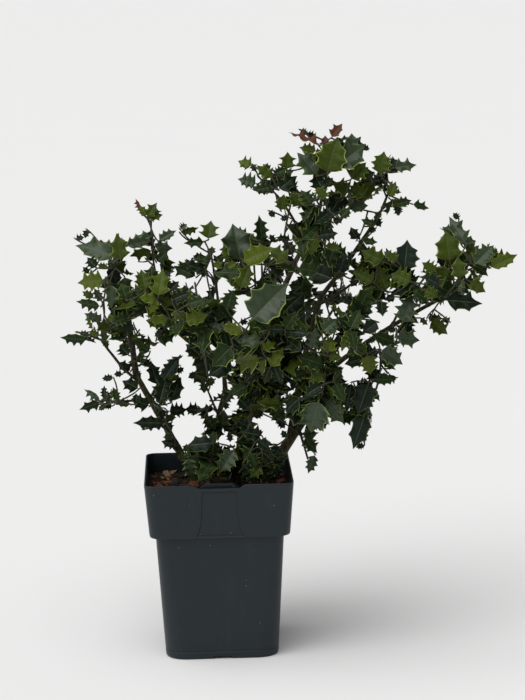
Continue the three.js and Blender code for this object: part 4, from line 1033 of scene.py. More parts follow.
class Garden:
    """Grows every mass, and keeps what has grown so that nothing crosses."""

    def __init__(self):
        self.cells = Cells()
        self.view = FrontView()
        self.twigs, self.leaves = [], []
        self.centres = np.zeros((0, 3))
        self.radii = np.zeros(0)
        self.trees = []
        self.twig_centres = np.zeros((0, 3))
        self.twig_reaches = np.zeros(0)
        spots, thick = [], []
        for limb in LIMBS.values():
            count = int(limb["plan"]["length"] / 3)
            for i in range(count + 1):
                spots.append(limb["curve"].at(i / count))
                thick.append(limb_radius(limb["plan"], i / count))
        self.limb_tree = bvh_of(*joined(
            tube_arrays(limb["curve"], lambda s, p=limb["plan"]: limb_radius(p, s) + LIMB_CLEARANCE, 6, 6)
            for limb in LIMBS.values()
        ))
        self.limb_spots, self.limb_thick = as_rows(spots), np.array(thick)

    def clear_of_pot(self, points):
        height = points[:, 2]
        if height.min() < SOIL_LEVEL + SOIL_CLEARANCE:
            return False
        out, half = np.abs(points[:, :2]).max(1), collar_half(height)
        in_wall = (out > half - WALL_DEPTH) & (out < half + WALL_CLEARANCE)
        return not (in_wall & (height < POT["height"] + RIM_CLEARANCE)).any()

    def meets_leaf(self, tree, centre, radius):
        """Whether a shape within a radius of its centre meets a leaf."""
        near = np.linalg.norm(self.centres - centre, axis=1) < self.radii + radius
        return any(tree.overlap(self.trees[i]) for i in np.nonzero(near)[0])

    def meets_twig(self, tree, centre, radius, parent):
        """Whether such a shape meets a twig other than the one that it grows from."""
        near = np.linalg.norm(self.twig_centres - tuple(centre), axis=1) < self.twig_reaches + radius
        twigs = [self.twigs[i] for i in np.nonzero(near)[0]]
        return any(twig is not parent and tree.overlap(twig["tree"]) for twig in twigs)

    def twig_fits(self, index, twig, parent):
        curve, length = twig["curve"], twig["length"]
        points = as_rows(curve.at(share) for share in (0.4, 0.7, 1))
        if not (self.cells.owns(index, points) and self.clear_of_pot(points)):
            return False
        gap = np.linalg.norm(points[:, None] - self.limb_spots, axis=2) - self.limb_thick
        if gap.min() < TWIG_CLEARANCE or self.view.open_along(points[1:]):
            return False
        tree, middle = bvh_of(*tube_arrays(curve, lambda s: TWIG_CLEARANCE, 4, 3)), curve.at(0.5)
        return not (
            self.meets_leaf(tree, tuple(middle), 0.6 * length)
            or self.meets_twig(tree, middle, 0.5 * length, parent)
        )

    def leaf_fits(self, index, leaf, twig):
        points = leaf_points(ROUGH_LEAF, [leaf])[0]
        if not (self.cells.owns(index, points[1:]) and self.clear_of_pot(points[1:])):
            return False
        return self.view.suits(leaf) and self.keep_leaf(leaf, points, twig, False)

    def keep_leaf(self, leaf, points, twig, placed, slim_share=SLIM_SHARE):
        """Adds a leaf if it meets no limb, twig or other leaf."""
        centre = points.mean(0)
        radius = np.linalg.norm(points - centre, axis=1).max()
        slim = leaf_points(ROUGH_LEAF, [{**leaf, "width": slim_share * leaf["width"]}])[0]
        tree = bvh_of(slim, ROUGH_LEAF[1])
        if (
            tree.overlap(self.limb_tree) or self.meets_leaf(tree, centre, radius)
            or self.meets_twig(tree, centre, radius, twig)
        ):
            return False
        self.centres = np.vstack([self.centres, centre])
        self.radii = np.append(self.radii, radius)
        self.trees.append(tree)
        self.leaves.append(leaf)
        self.view.cover(leaf, placed)
        return True

    def grow(self):
        """Main twigs first and the front leaves on them, then side twigs, then leaves at the
        twigs' tips and further back, then leaves where the crown is still thin in front."""
        seeds = [SEED + SEED_STEP * index for index in range(len(MASSES))]
        draws = [random_stream(seed) for seed in seeds]
        streams = [random_stream(seed + LEAF_SEED_STEP) for seed in seeds]
        stems = [self._grow_main_twig(index, draw) for index, draw in enumerate(draws)]
        for name, rows in FRONT_LEAVES.items():
            index = self.cells.names.index(name)
            for u0, v0, u1, v1, half, tone in rows:
                self._place_leaf(index, (u0, v0), (u1, v1), half, tone, streams[index])
        for index, stem in enumerate(stems):
            self._grow_twigs(index, stem, draws[index], streams[index])
        for twig in self.twigs:
            self._leaf_the_tip(twig, streams[twig["index"]])
        for twig in self.twigs:
            self._leaf_the_length(twig, streams[twig["index"]])
        self._close_the_front(random_stream(SEED))

    def _wood_near(self, index, spot):
        """The nearest places on a mass's twigs: how far off, the share of the twig, and the twig."""
        woods = []
        for twig in self.twigs:
            if twig["index"] == index:
                count = max(2, int(twig["length"] / WOOD_STEP))
                for i in range(count + 1):
                    share = WOOD_START + (1 - WOOD_START) * i / count
                    woods.append(((twig["curve"].at(share) - spot).length, share, twig))
        woods.sort(key=lambda wood: wood[0])
        return woods[:WOOD_TRIES]

    def _twig_to(self, index, leaf, leaf_tree, strict):
        """A short twig that brings a leaf its sap from the nearest wood that it can reach."""
        root = leaf["root"]
        woods = [wood for wood in self._wood_near(index, root) if wood[0] < WOOD_REACH]
        choices = [(*wood, True) for wood in woods]
        if not strict:
            choices += [(*wood, False) for wood in woods]
        for away, share, parent, shy in choices:
            start = parent["curve"].at(share)
            lead = root - leaf["along"] * (0.5 * away)
            bend = (start + root) / 2 * (1 - OWN_TWIG_CURL) + lead * OWN_TWIG_CURL
            curve = Bow(start, bend, root)
            if shy and self.view.open_along(as_rows(curve.at(s) for s in (0.2, 0.4, 0.6, 0.8))) > 1:
                continue
            inner = Bow(curve.at(0.2), curve.at(0.55), curve.at(0.93))
            tree = bvh_of(*tube_arrays(inner, lambda s: 0.9, 4, 4))
            if (
                tree.overlap(self.limb_tree) or tree.overlap(leaf_tree)
                or self.meets_leaf(tree, tuple(curve.at(0.5)), 0.6 * away)
            ):
                continue
            return dict(
                curve=curve, length=max(away, 1.0), radius=OWN_TWIG_RADIUS, leafy=TWIG_LEAF_START,
                turn=360 * share, parent=parent,
            )
        return None

    def _place_leaf(self, index, root_place, tip_place, half, tone, draw, strict=False):
        """A leaf that shows at a given place in the front view, as deep in its mass as fits."""
        middle = (self.cells.starts[index] + self.cells.ends[index]) / 2
        far = (np.array(tuple(middle)) - CAMERA_SPOT) @ self.view.axes[:, 2]
        far = far + np.arange(-SIGHT_REACH, SIGHT_REACH + 1, SIGHT_STEP)
        spread, back = FRONT_LEAN
        lean, skew = spread * (draw() - back), draw()
        shape = self._leaf_shape(index, draw)
        for shrink in FRONT_SHRINK[:1] if strict else FRONT_SHRINK:
            (root_u, root_v), (tip_u, tip_v) = root_place, tip_place
            if shrink < 1:
                root_u, root_v = lerp(tip_u, root_u, shrink), lerp(tip_v, root_v, shrink)
                tip_u, tip_v = lerp(root_u, tip_u, shrink), lerp(root_v, tip_v, shrink)
            shown = math.hypot(tip_u - root_u, tip_v - root_v)
            roots = self.view.spots(root_u, root_v, far)
            tips = self.view.spots(tip_u, tip_v, far)
            own = self.cells.depth(index, roots)
            limit = 1 if strict else min(FRONT_REACH, max(FRONT_ROOM[0], own.min() + FRONT_ROOM[1]))
            rooms = np.nonzero(own <= limit)[0]
            ends = np.nonzero(self.cells.depth(index, tips) <= FRONT_REACH)[0]
            if not len(rooms) or not len(ends):
                continue
            for share in FILL_SHARES if strict else FRONT_SHARES:
                at = rooms[int(share * (len(rooms) - 1))]
                end = ends[np.abs(ends - (at - lean * shown / SIGHT_STEP)).argmin()]
                if abs(end - at) * SIGHT_STEP > FRONT_SLANT[0] * shown + FRONT_SLANT[1]:
                    continue
                leaf = self._front_leaf(Vector(roots[at]), Vector(tips[end]), shown, half, tone, shape, skew)
                points = leaf_points(ROUGH_LEAF, [leaf])[0]
                if not self.clear_of_pot(points) or (strict and not self.view.suits(leaf, FILL_SLACK)):
                    continue
                twig = self._twig_to(index, leaf, bvh_of(points, ROUGH_LEAF[1]), strict)
                slim_share = FILL_SLIM if strict else SLIM_SHARE
                if twig and self.keep_leaf(leaf, points, twig["parent"], not strict, slim_share):
                    if twig["length"] > LEAST_OWN_TWIG:
                        self._keep_twig(index, twig)
                    return True
        return False

    def _front_leaf(self, root, tip, shown, half, tone, shape, skew):
        along = (tip - root).normalized()
        length = (tip - root).length
        facing = UP * FRONT_UP - VIEW_AHEAD
        across = facing.cross(along).normalized()
        face = along.cross(across).normalized()
        ratio = FRONT_WIDEN * 2 * half / shown
        width = min(FRONT_WIDTHS[1], max(FRONT_WIDTHS[0], ratio))
        roll = math.acos(min(1, ratio / width)) * (1 if skew < FRONT_ROLL_UP else -1)
        spin = Quaternion(along, roll * (1 if across.z > 0 else -1))
        across.rotate(spin)
        face.rotate(spin)
        smooth = SMOOTH_SPINE if tone == "deep" or half > BIG_HALF else 1.0
        return {
            **shape, "root": root, "along": along, "across": across, "face": face, "length": length,
            "width": width, "tone": tone, "spine": shape["spine"] * smooth,
            "twist": shape["twist"] * FRONT_TWIST,
        }

    def _close_the_front(self, draw):
        """Puts leaves where the front still shows no leaf and no open sky."""
        for down in range(*FILL_DOWN, FILL_STEP):
            for over in range(*FILL_ACROSS, FILL_STEP):
                near = self.view.covered[down - 1:down + 2, over - 1:over + 2]
                if self.view.sky[down, over] or near.any():
                    continue
                spots = self.view.spots(over, down, np.arange(*FILL_FAR))
                depths = self.cells.depths(spots).min(0)
                nearest = [int(i) for i in np.argsort(depths)[:FILL_MASSES] if depths[i] < 1]
                self._close_place(over, down, nearest, draw)

    def _close_place(self, over, down, nearest, draw):
        tone = "dark" if draw() < 0.5 else "mid"
        start = 360 * draw()
        for length in FILL_LENGTHS:
            for index in nearest:
                for turn in FILL_TURNS:
                    aim = math.radians(start + turn)
                    u, v = 0.5 * length * math.cos(aim), 0.5 * length * math.sin(aim)
                    if any(self.view.sky[int(down + t * v), int(over - t * u)] for t in (-0.8, 0.8)):
                        continue
                    places = (over - u, down + v), (over + u, down - v)
                    if self._place_leaf(index, *places, FILL_HALF * length, tone, draw, True):
                        return

    def _grow_main_twig(self, index, draw):
        plan = MASSES[self.cells.names[index]]
        start, along = self.cells.starts[index], self.cells.alongs[index]
        length = self.cells.cores[index] + STEM_OVERRUN
        limb = LIMBS[plan["on"]]
        at_tip = plan["at"] == 1
        lead = limb["curve"].along(plan["at"]) if at_tip else along
        bend = (along * (1 - LEAD_ON) + lead * LEAD_ON).normalized()
        first_turn = 360 * draw()
        thick = limb_radius(limb["plan"], plan["at"]) * TIP_MATCH if at_tip else TWIG_RADIUS[0]
        stem = dict(
            curve=Bow(start, start + bend * (0.5 * length), start + along * length),
            length=length, radius=(thick, TWIG_RADIUS[1]), leafy=STEM_LEAF_START, turn=first_turn + 60,
        )
        self._keep_twig(index, stem)
        return stem

    def _grow_twigs(self, index, stem, draw, fine):
        plan = MASSES[self.cells.names[index]]
        twigs, length, first_turn = [stem], stem["length"], stem["turn"] - 60
        bare = TWIG_START * length
        count = max(2, round((length - bare) / TWIG_SPACING))
        for i in range(count):
            share = (bare + (length - bare) * i / count) / length
            turn = first_turn + i * TURN
            size = TWIG_SHARE * plan["reach"] * lerp(*TWIG_SPREAD, draw())
            angle = TWIG_ANGLE + TWIG_ANGLE_SPREAD * (draw() - 0.5)
            self._try_twig(index, twigs, stem, share, angle, turn, size, SIDE_TWIG_RADIUS, SIDE_TWIG_SAG)
        for parent in twigs[1:]:
            for place in FINE_TWIG_PLACES:
                size = FINE_TWIG_SHARE * parent["length"] * lerp(*TWIG_SPREAD, fine())
                spring = (index, twigs, parent, place, FINE_TWIG_ANGLE, 360 * fine())
                if size > LEAST_TWIG:
                    self._try_twig(*spring, size, FINE_TWIG_RADIUS, FINE_TWIG_SAG)

    def _keep_twig(self, index, twig):
        tube = tube_arrays(twig["curve"], lambda s: lerp(*twig["radius"], s) + 0.2, 4, 3)
        twig.update(index=index, mass=self.cells.names[index], tree=bvh_of(*tube))
        self.twigs.append(twig)
        self.twig_centres = np.vstack([self.twig_centres, tuple(twig["curve"].at(0.5))])
        self.twig_reaches = np.append(self.twig_reaches, 0.5 * twig["length"] + 3)

    def _try_twig(self, index, twigs, parent, share, angle, turn, size, radius, sag):
        start, along = parent["curve"].at(share), parent["curve"].along(share)
        for swing in LEAF_TURNS:
            end = start + branch_off(along, angle, turn + swing) * size
            twig = dict(
                curve=Bow(start, (start + end) / 2 - UP * (sag * size), end), length=size,
                radius=radius, leafy=TWIG_LEAF_START, turn=turn + 90,
            )
            if self.twig_fits(index, twig, parent):
                self._keep_twig(index, twig)
                twigs.append(twig)
                return

    def _leaf_the_tip(self, twig, fine):
        tip = 1 - TIP_BARE[0] / twig["length"]
        for i in range(TIP_LEAVES):
            share, turn = tip - i * TIP_LEAF_GAP / twig["length"], twig["turn"] + i * 360 / TIP_LEAVES
            self._try_leaf(twig, share, TIP_LEAF_ANGLE + TIP_LEAF_OPEN * i, turn, fine)

    def _leaf_the_length(self, twig, fine):
        tip = 1 - TIP_BARE[1] / twig["length"]
        places = max(1, round((tip - twig["leafy"]) * twig["length"] / LEAF_SPACING))
        for i in range(places):
            share = lerp(twig["leafy"], tip, i / places)
            self._try_leaf(twig, share, None, twig["turn"] + 60 + i * TURN, fine)

    def _try_leaf(self, twig, share, angle, turn, fine):
        root, along = twig["curve"].at(share), twig["curve"].along(share)
        length = (LEAF_BASE + LEAF_SHARE * MASSES[twig["mass"]]["reach"]) * lerp(*LEAF_SPREAD, fine())
        roll = LEAF_ROLL * (2 * fine() - 1)
        shape = self._leaf_shape(twig["index"], fine)
        for size in LEAF_SIZES:
            for swing in LEAF_TURNS:
                for lean in LEAF_ANGLES if angle is None else (angle, angle + TIP_LEAF_SWING):
                    aim = branch_off(along, lean, turn + swing)
                    if abs(aim.dot(VIEW_AHEAD)) > END_ON:
                        continue
                    leaf = {**leaf_frame(root, aim, along, size * length, roll), **shape}
                    tip = leaf_tip(leaf)
                    if self.cells.beyond(twig["index"], tip) or self.view.open_at(tip):
                        continue
                    if self.leaf_fits(twig["index"], leaf, twig):
                        return

    def _leaf_shape(self, index, fine):
        outline = "broad" if fine() < 0.5 else "long"
        shape = {key: lerp(*ends, fine()) for key, ends in LEAF_RANGES.items()}
        return dict(outline=outline, **shape, pick=fine(), shade=fine(), mass=self.cells.names[index])


# --- Materials ---


def leaf_upper_material(name, colour, gloss):
    """Glossy upper side: a plain colour, mottled, with veins that run out and forward."""
    sketch = Sketch(name)
    mottle = sketch.noise(140, 4)
    patches = sketch.noise(38, 2)
    tone = sketch.attribute("shade")
    base = sketch.mix(mottle * 0.5 + patches * 0.5, tint(colour, 0.5), tint(colour, 1.6, 0.004))
    base = sketch.mix(tone, base, tint(colour, 1.5, 0.003))
    side, share = sketch.attribute("leaf_side"), sketch.attribute("leaf_share")
    wave = sketch.node("ShaderNodeMath", {"operation": "SINE"}, ((share - side * 0.16) * 62,))
    vein = sketch.node("ShaderNodeMath", {"operation": "MAXIMUM"}, (wave - 0.82, 0.0))
    base = sketch.mix(vein * 2.2 * (1 - side), base, tint(colour, 2.0, 0.008))
    normal = sketch.bump(vein * -1.4 + mottle * 0.5, 0.0005, 0.7)
    return sketch.finish(
        base_color=base, roughness=mottle * 0.16 + 0.24, specular_ior_level=gloss, normal=normal,
    )


def plain_material(name, colour, roughness, scale=60, contrast=0.4, bump=0.0, specular=0.5):
    sketch = Sketch(name)
    grain = sketch.noise(scale, 4)
    base = sketch.mix(grain, tint(colour, 1 - contrast), tint(colour, 1 + contrast))
    inputs = dict(base_color=base, roughness=grain * 0.2 + (roughness - 0.1), specular_ior_level=specular)
    if bump:
        inputs["normal"] = sketch.bump(grain, bump)
    return sketch.finish(**inputs)


def bark_material(name, colour, green, streak):
    """Thin bark: dark, with long cracks, a green cast and warmer streaks."""
    sketch = Sketch(name)
    long_grain = sketch.noise(1.0, 5, 0.6, sketch.place((900, 900, 160)))
    patches = sketch.noise(26, 3)
    pores = sketch.noise(420, 2)
    cracks = sketch.ramp(long_grain, 0.4, 0.62)
    base = sketch.mix(cracks, tint(colour, 0.2), tint(colour, 2.2))
    greener = sketch.ramp(patches, 0.45, 0.62)
    base = sketch.mix(greener * 0.6, base, green)
    warmer = sketch.ramp(sketch.noise(17, 2, 0.4, sketch.place((1, 1, 0.35))), 0.58, 0.66)
    base = sketch.mix(warmer * 0.55, base, streak)
    normal = sketch.bump(long_grain + pores * 0.4, 0.0006, 0.9)
    return sketch.finish(
        base_color=base, roughness=long_grain * 0.25 + 0.5, specular_ior_level=0.2, normal=normal,
    )


def pot_material(settings):
    """Satin moulded plastic with fine texture, scuffs and dust specks."""
    sketch = Sketch("pot_plastic")
    colour = tuple(settings.colour)
    fine = sketch.noise(1500, 2)
    clouds = sketch.noise(9, 3)
    scuff = sketch.noise(1.0, 6, 0.7, sketch.place((60, 60, 14)))
    base = sketch.mix(clouds, tint(colour, 0.86), tint(colour, 1.16))
    base = sketch.mix(sketch.ramp(scuff, 0.56, 0.74) * 0.3, base, tint(colour, 1.6, 0.01))
    grid = sketch.node(
        "ShaderNodeTexVoronoi", {"feature": "F1"}, {"Vector": sketch.place(), "Scale": 190.0},
        output="Distance",
    )
    chance = sketch.node("ShaderNodeTexNoise", {}, {"Vector": sketch.place(), "Scale": 70.0, "Detail": 1.0})
    speck = sketch.ramp(grid, 0.06, 0.1, first=1)
    sparse = sketch.ramp(chance, 0.6, 0.66)
    base = sketch.mix(speck * sparse * settings.specks, base, (0.3, 0.3, 0.28))
    return sketch.finish(
        base_color=base, roughness=fine * 0.1 + clouds * 0.08 + settings.roughness,
        normal=sketch.bump(fine + scuff * 0.5, 0.00012, 0.6), specular_ior_level=0.3,
    )


# --- Settings ---


def colour_property(name, default, description):
    return FloatVectorProperty(
        name=name, description=description, subtype="COLOR", size=3, min=0, max=1, default=default,
    )


def factor_property(name, default, description, most=1):
    return FloatProperty(
        name=name, description=description, subtype="FACTOR", min=0, max=most, default=default,
    )


def strength_property(name, default, description):
    return FloatProperty(name=name, description=description, min=0, max=20, default=default)


class HollyPotSettings(PropertyGroup):
    colour: colour_property("Colour", (0.0108, 0.0178, 0.0222), "Colour of the pot's plastic")
    roughness: factor_property("Roughness", 0.34, "How matt the plastic is")
    specks: factor_property("Specks", 0.7, "How strongly dust specks show")


class HollyCompostSettings(PropertyGroup):
    colour: colour_property("Colour", (0.014, 0.009, 0.006), "Colour of the compost")
    chips: IntProperty(
        name="Chips", description="Number of bark chips on the compost", default=330, min=0, max=900,
    )
    lumps: FloatProperty(
        name="Lumps", description="Height of the lumps in the compost", default=2.6 * MM, min=0, max=8 * MM,
        subtype="DISTANCE", unit="LENGTH",
    )


class HollyBarkSettings(PropertyGroup):
    colour: colour_property("Colour", (0.046, 0.038, 0.018), "Colour of the bark")
    green: colour_property("Green cast", (0.036, 0.042, 0.013), "Colour of the greener bark")
    streak: colour_property("Streaks", (0.13, 0.06, 0.022), "Colour of the warm streaks")
    relief: factor_property("Relief", 0.09, "Depth of the bark's relief as a share of the radius", 0.3)


class HollyLeafSettings(PropertyGroup):
    dark: colour_property("Dark leaves", (0.004, 0.011, 0.003), "Upper side of the old leaves")
    mid: colour_property("Mid leaves", (0.012, 0.026, 0.004), "Upper side of the younger leaves")
    olive: colour_property("Olive leaves", (0.036, 0.056, 0.003), "Upper side of the olive leaves")
    young: colour_property("Young leaves", (0.062, 0.088, 0.006), "Upper side of the newest green leaves")
    bronze: colour_property("Bronze leaves", (0.085, 0.028, 0.018), "Upper side of the newest shoots")
    # The sheeny leaves' colour is a paler, greyer green that paints the sky's reflection on their gloss.
    sheen: colour_property("Sheeny leaves", (0.024, 0.042, 0.016), "Upper side of the greyish leaves")
    deep: colour_property("Deep leaves", (0.007, 0.015, 0.009), "Upper side of the big bluish leaves")
    margin: colour_property("Margin", (0.26, 0.34, 0.05), "Colour of the thin leaf margin")
    rib: colour_property("Midrib", (0.05, 0.075, 0.02), "Colour of the midrib and stalk")
    twig: colour_property("Twigs", (0.026, 0.030, 0.012), "Colour of the twigs")
    bud: colour_property("Buds", (0.07, 0.026, 0.012), "Colour of the buds")


class HollyStageSettings(PropertyGroup):
    floor: colour_property("Floor", (0.94, 0.94, 0.935), "Colour of the floor")
    sky: strength_property("Sky", 0.3, "Strength of the light from all round")
    key_power: strength_property("Overhead light", 1.9, "Strength of the wide light overhead")
    fill_power: strength_property("Side light", 0.5, "Strength of the narrower light from the left")
    lens: FloatProperty(
        name="Lens", description="Focal length of the camera", default=CAMERA_LENS, min=10, max=400,
        unit="CAMERA",
    )


# --- Pot ---

POT = dict(
    height=186, rim_width=150, collar_height=55.7, collar_foot=130.3, collar_foot_width=141.6,
    body_top_width=129.6, base_width=115.3, wall=1.8, floor=5, rim_corner=10, ledge_corner=13,
    base_corner=21, recess=1.2, pad=1.4, notch=3.5, foot_notch=8.5, foot_notch_height=4,
)
PANEL_EDGE = (
    (0, 9.1), (12, 9.1), (125, 22), (131, 24.5), (134.5, 22), (146, 18.6), (178.5, 17.2), (186, 20.4),
)
PANEL_FOOT, PANEL_TOP = 129, 178.4
NOTCH_EDGE = (20.4, 26.4)       # half width of the notch in the rim, at its floor and at the rim
PAD_OVERHANG = 6.5              # how much wider the thick wall behind a label panel is, each side
SHARP_POT = 28                  # degrees
CORNER_STEPS = 7


def up_collar(foot, rim, z):
    """A measure of the collar at a height, from what it is at its foot and at the rim."""
    return lerp(POT[foot], POT[rim], (z - POT["collar_foot"]) / POT["collar_height"])


def up_body(base, top, z):
    return lerp(POT[base], POT[top], z / POT["collar_foot"])


def collar_half(z):
    return up_collar("collar_foot_width", "rim_width", z) / 2


def collar_corner(z):
    return up_collar("ledge_corner", "rim_corner", z)


def body_half(z):
    return up_body("base_width", "body_top_width", z) / 2


def body_corner(z):
    return up_body("base_corner", "ledge_corner", z)


def panel_half(z):
    """Half width of the label panel, which is also where the columns of the front face stand."""
    heights, halves = zip(*PANEL_EDGE)
    return float(np.interp(z, heights, halves))


def pot_ring(z, half, corner):
    """A rounded square at a height, side by side, as x, y and the column's place on its side."""
    straight, panel = half - corner, panel_half(z)
    places = [0, panel * 0.5, panel - 0.6, panel + 0.6, panel + 6, (panel + 6 + straight) / 2]
    ring = []
    for turn in range(4):
        spin = Matrix.Rotation(turn * math.pi / 2, 2)
        row = [-p for p in places[:0:-1]] + places
        for place in row:
            ring.append((spin @ Vector((place, -half)), turn, place))
        for i in range(CORNER_STEPS + 1):
            arc = math.radians(-90 + 90 * i / CORNER_STEPS)
            spot = Vector((straight + corner * math.cos(arc), -straight + corner * math.sin(arc)))
            ring.append((spin @ spot, turn, half))
    return ring


def pot_levels():
    """From the middle of the underside, up the outside, over the rim and down inside."""
    base, foot, top, wall = POT["base_width"] / 2, POT["collar_foot"], POT["height"], POT["wall"]
    levels = [("foot", z, base - inset, corner) for z, inset, corner in (
        (1.8, 10, 12), (1.6, 8.6, 13.4), (0.1, 7.6, 14.4), (0, 7, 15),
        (0, 1.6, 19.4), (0.25, 0.8, 20.2), (1.2, 0.1, 20.9),
    )]

    def add(kind, half_at, corner_at, rows):
        for z, inset in rows:
            levels.append((kind, z, half_at(z) - inset, corner_at(z) - inset))

    add("out", body_half, body_corner, (
        (3, 0), (7.2, 0), (7.6, 0.35), (8.4, 0.4), (8.9, 0.05), (30, 0), (60, 0), (92, 0), (118, 0),
        (127, 0), (foot - 0.5, 0.05),
    ))
    add("out", lambda z: collar_half(foot), lambda z: collar_corner(foot), (
        (foot - 0.2, 5.2), (foot - 0.1, 1.4), (foot + 0.3, 0.4), (foot + 1.1, 0.02),
    ))
    add("panel", collar_half, collar_corner, [
        (z, 0) for z in (132.2, 134.5, 140, 150, 160, 170, 176, 177.9, 179.1, 181.4, 184.6)
    ])
    add("rim", collar_half, collar_corner, (
        (top - 0.5, 0.12), (top - 0.1, 0.45), (top, 0.9), (top - 0.1, wall - 0.4), (top - 0.5, wall - 0.08),
    ))
    add("in", collar_half, collar_corner, [(z, wall) for z in (183, 178, 170, 160, 148, foot + 6)])
    add("floor", body_half, body_corner, [(z, wall) for z in (foot + 1.5, 60, 9, 5.6)])
    add("floor", body_half, body_corner, [(POT["floor"], wall + 1.2)])
    return levels


def make_pot_mesh():
    levels = pot_levels()
    around = len(pot_ring(100, 60, 15))
    bm = bmesh.new()
    bmesh.ops.create_grid(bm, x_segments=around, y_segments=len(levels) - 1, size=0.5)
    for vert in bm.verts:
        column = round((vert.co.x + 0.5) * around) % around
        kind, z, half, corner = levels[round((vert.co.y + 0.5) * (len(levels) - 1))]
        spot, turn, place = pot_ring(z, half, corner)[column]
        face_turn = Matrix.Rotation(turn * math.pi / 2, 2)
        labelled, panel = turn in (0, 2), panel_half(z)
        inward = 0
        if kind == "panel" and labelled and abs(place) < panel and PANEL_FOOT < z < PANEL_TOP:
            inward = POT["recess"] * (1 if z > 133 else 0.6)
        if kind == "in" and labelled and abs(place) < panel + PAD_OVERHANG and z > POT["collar_foot"] + 8:
            inward = POT["pad"]
        if labelled and (kind == "rim" or (kind in ("in", "panel") and z > 182)):
            depth = POT["notch"] * float(np.interp(abs(place), NOTCH_EDGE, (1, 0)))
            z -= depth * (1 if kind == "rim" else 0.6)
        if kind == "foot" and abs(place) < POT["foot_notch"] + 0.2:
            z = max(z, POT["foot_notch_height"])
        spot = spot + face_turn @ Vector((0, inward))
        vert.co = Vector((spot.x, spot.y, z)) * MM
    bmesh.ops.remove_doubles(bm, verts=bm.verts, dist=1e-6)
    rims = [edge for edge in bm.edges if edge.is_boundary]
    bmesh.ops.holes_fill(bm, edges=rims, sides=0)
    bmesh.ops.recalc_face_normals(bm, faces=bm.faces)
    return bm


def label_tongue(side):
    """The plate that holds a label behind the notch in the rim, and the ledge that carries it."""
    bm = bmesh.new()
    face = POT["wall"] + POT["pad"] + 3.5
    bmesh.ops.create_grid(bm, x_segments=4, y_segments=4, size=0.5)
    for vert in bm.verts:
        z = float(np.interp(vert.co.y, (-0.5, -0.25, 0, 0.25, 0.5), (167.5, 172, 177, 181, 186)))
        half = float(np.interp(z, (167.5, 181, 186), (20, 20, 14)))
        vert.co = Vector((2 * half * vert.co.x, face - collar_half(z), z))
    bmesh.ops.recalc_face_normals(bm, faces=bm.faces)
    bmesh.ops.solidify(bm, geom=bm.faces[:], thickness=-1.3)
    edges = [e for e in bm.edges if len(e.link_faces) == 2 and e.calc_face_angle() > 1]
    bmesh.ops.bevel(bm, geom=edges, offset=0.35, segments=2, profile=0.5, affect="EDGES", material=-1)
    made = bmesh.ops.create_cube(bm, size=1)["verts"]
    for vert in made:
        depth = 1.9 if vert.co.y < 0 else face + 1.2
        z = 168.9 if vert.co.z > 0 else 167.5
        vert.co = Vector((38 * vert.co.x, depth - collar_half(z), z))
    if side:
        bmesh.ops.rotate(bm, verts=bm.verts, matrix=Matrix.Rotation(math.pi, 3, "Z"))
    bmesh.ops.scale(bm, verts=bm.verts, vec=(MM, MM, MM))
    bmesh.ops.recalc_face_normals(bm, faces=bm.faces)
    return bm


def drain_cutter():
    """A cross of slots for each quarter of the floor."""
    bm = bmesh.new()
    for x in (-32, 32):
        for y in (-32, 32):
            for size in ((3.4, 15), (15, 3.4)):
                made = bmesh.ops.create_cube(bm, size=1)["verts"]
                bmesh.ops.scale(bm, verts=made, vec=(size[0] * MM, size[1] * MM, 20 * MM))
                bmesh.ops.translate(bm, verts=made, vec=(x * MM, y * MM, 0))
    mesh = bpy.data.meshes.new("drain_cutter")
    bm.to_mesh(mesh)
    bm.free()
    cutter = bpy.data.objects.new("drain_cutter", mesh)
    bpy.context.scene.collection.objects.link(cutter)
    return cutter


class HOLLY_OT_make_pot(Operator):
    """Builds the square pot with its collar, label holders and drain slots"""

    bl_idname = "holly.make_pot"
    bl_label = "Make Pot"

    def execute(self, context):
        plastic = pot_material(context.scene.holly_pot)
        pot = mesh_object("nursery_pot", make_pot_mesh(), [plastic], SHARP_POT)
        cutter = drain_cutter()
        cut = pot.modifiers.new("drains", "BOOLEAN")
        cut.object = cutter
        cut.solver = "EXACT"
        cut.use_self = True
        evaluated = pot.evaluated_get(context.evaluated_depsgraph_get())
        baked = bpy.data.meshes.new_from_object(evaluated)
        pot.modifiers.clear()
        pot.data = baked
        pot.data.shade_smooth()
        pot.data.set_sharp_from_angle(angle=math.radians(SHARP_POT))
        bpy.data.objects.remove(cutter)
        stand_for(pot, "pot_plastic", "pot")
        for side, name in enumerate(("label_tongue_front", "label_tongue_back")):
            stand_for(mesh_object(name, label_tongue(side), [plastic], 30), "pot_plastic")
        return {"FINISHED"}


# --- Compost ---


COMPOST_GAP = 0.3
CHIP_GAP = 0.8                  # between a chip and the pot's wall


def rounded_square(x, y, half, corner):
    """Maps a point of the square from -1 to 1 to a square with round corners."""
    spot = Vector((x * half, y * half))
    inner = half - corner
    beyond = Vector((abs(spot.x) - inner, abs(spot.y) - inner))
    if beyond.x > 0 and beyond.y > 0:
        beyond *= max(beyond) / beyond.length
        spot = Vector((math.copysign(inner + beyond.x, x), math.copysign(inner + beyond.y, y)))
    return spot


def compost_height(x, y, lumps):
    """Height of the compost's surface at a spot, in millimetres."""
    coarse = noise.noise(Vector((x / 17, y / 17, 3.1)))
    medium = noise.noise(Vector((x / 6, y / 6, 7.7)))
    fine = noise.noise(Vector((x / 2.4, y / 2.4, 1.3)))
    return SOIL_LEVEL + lumps * (0.8 * coarse + 0.45 * medium + 0.3 * fine)


def compost_square(z):
    """Half width and corner of the compost at a height, just clear of the pot."""
    high = z > POT["collar_foot"] + 5
    half, corner = (collar_half, collar_corner) if high else (body_half, body_corner)
    inset = POT["wall"] + COMPOST_GAP
    return half(z) - inset, corner(z) - inset


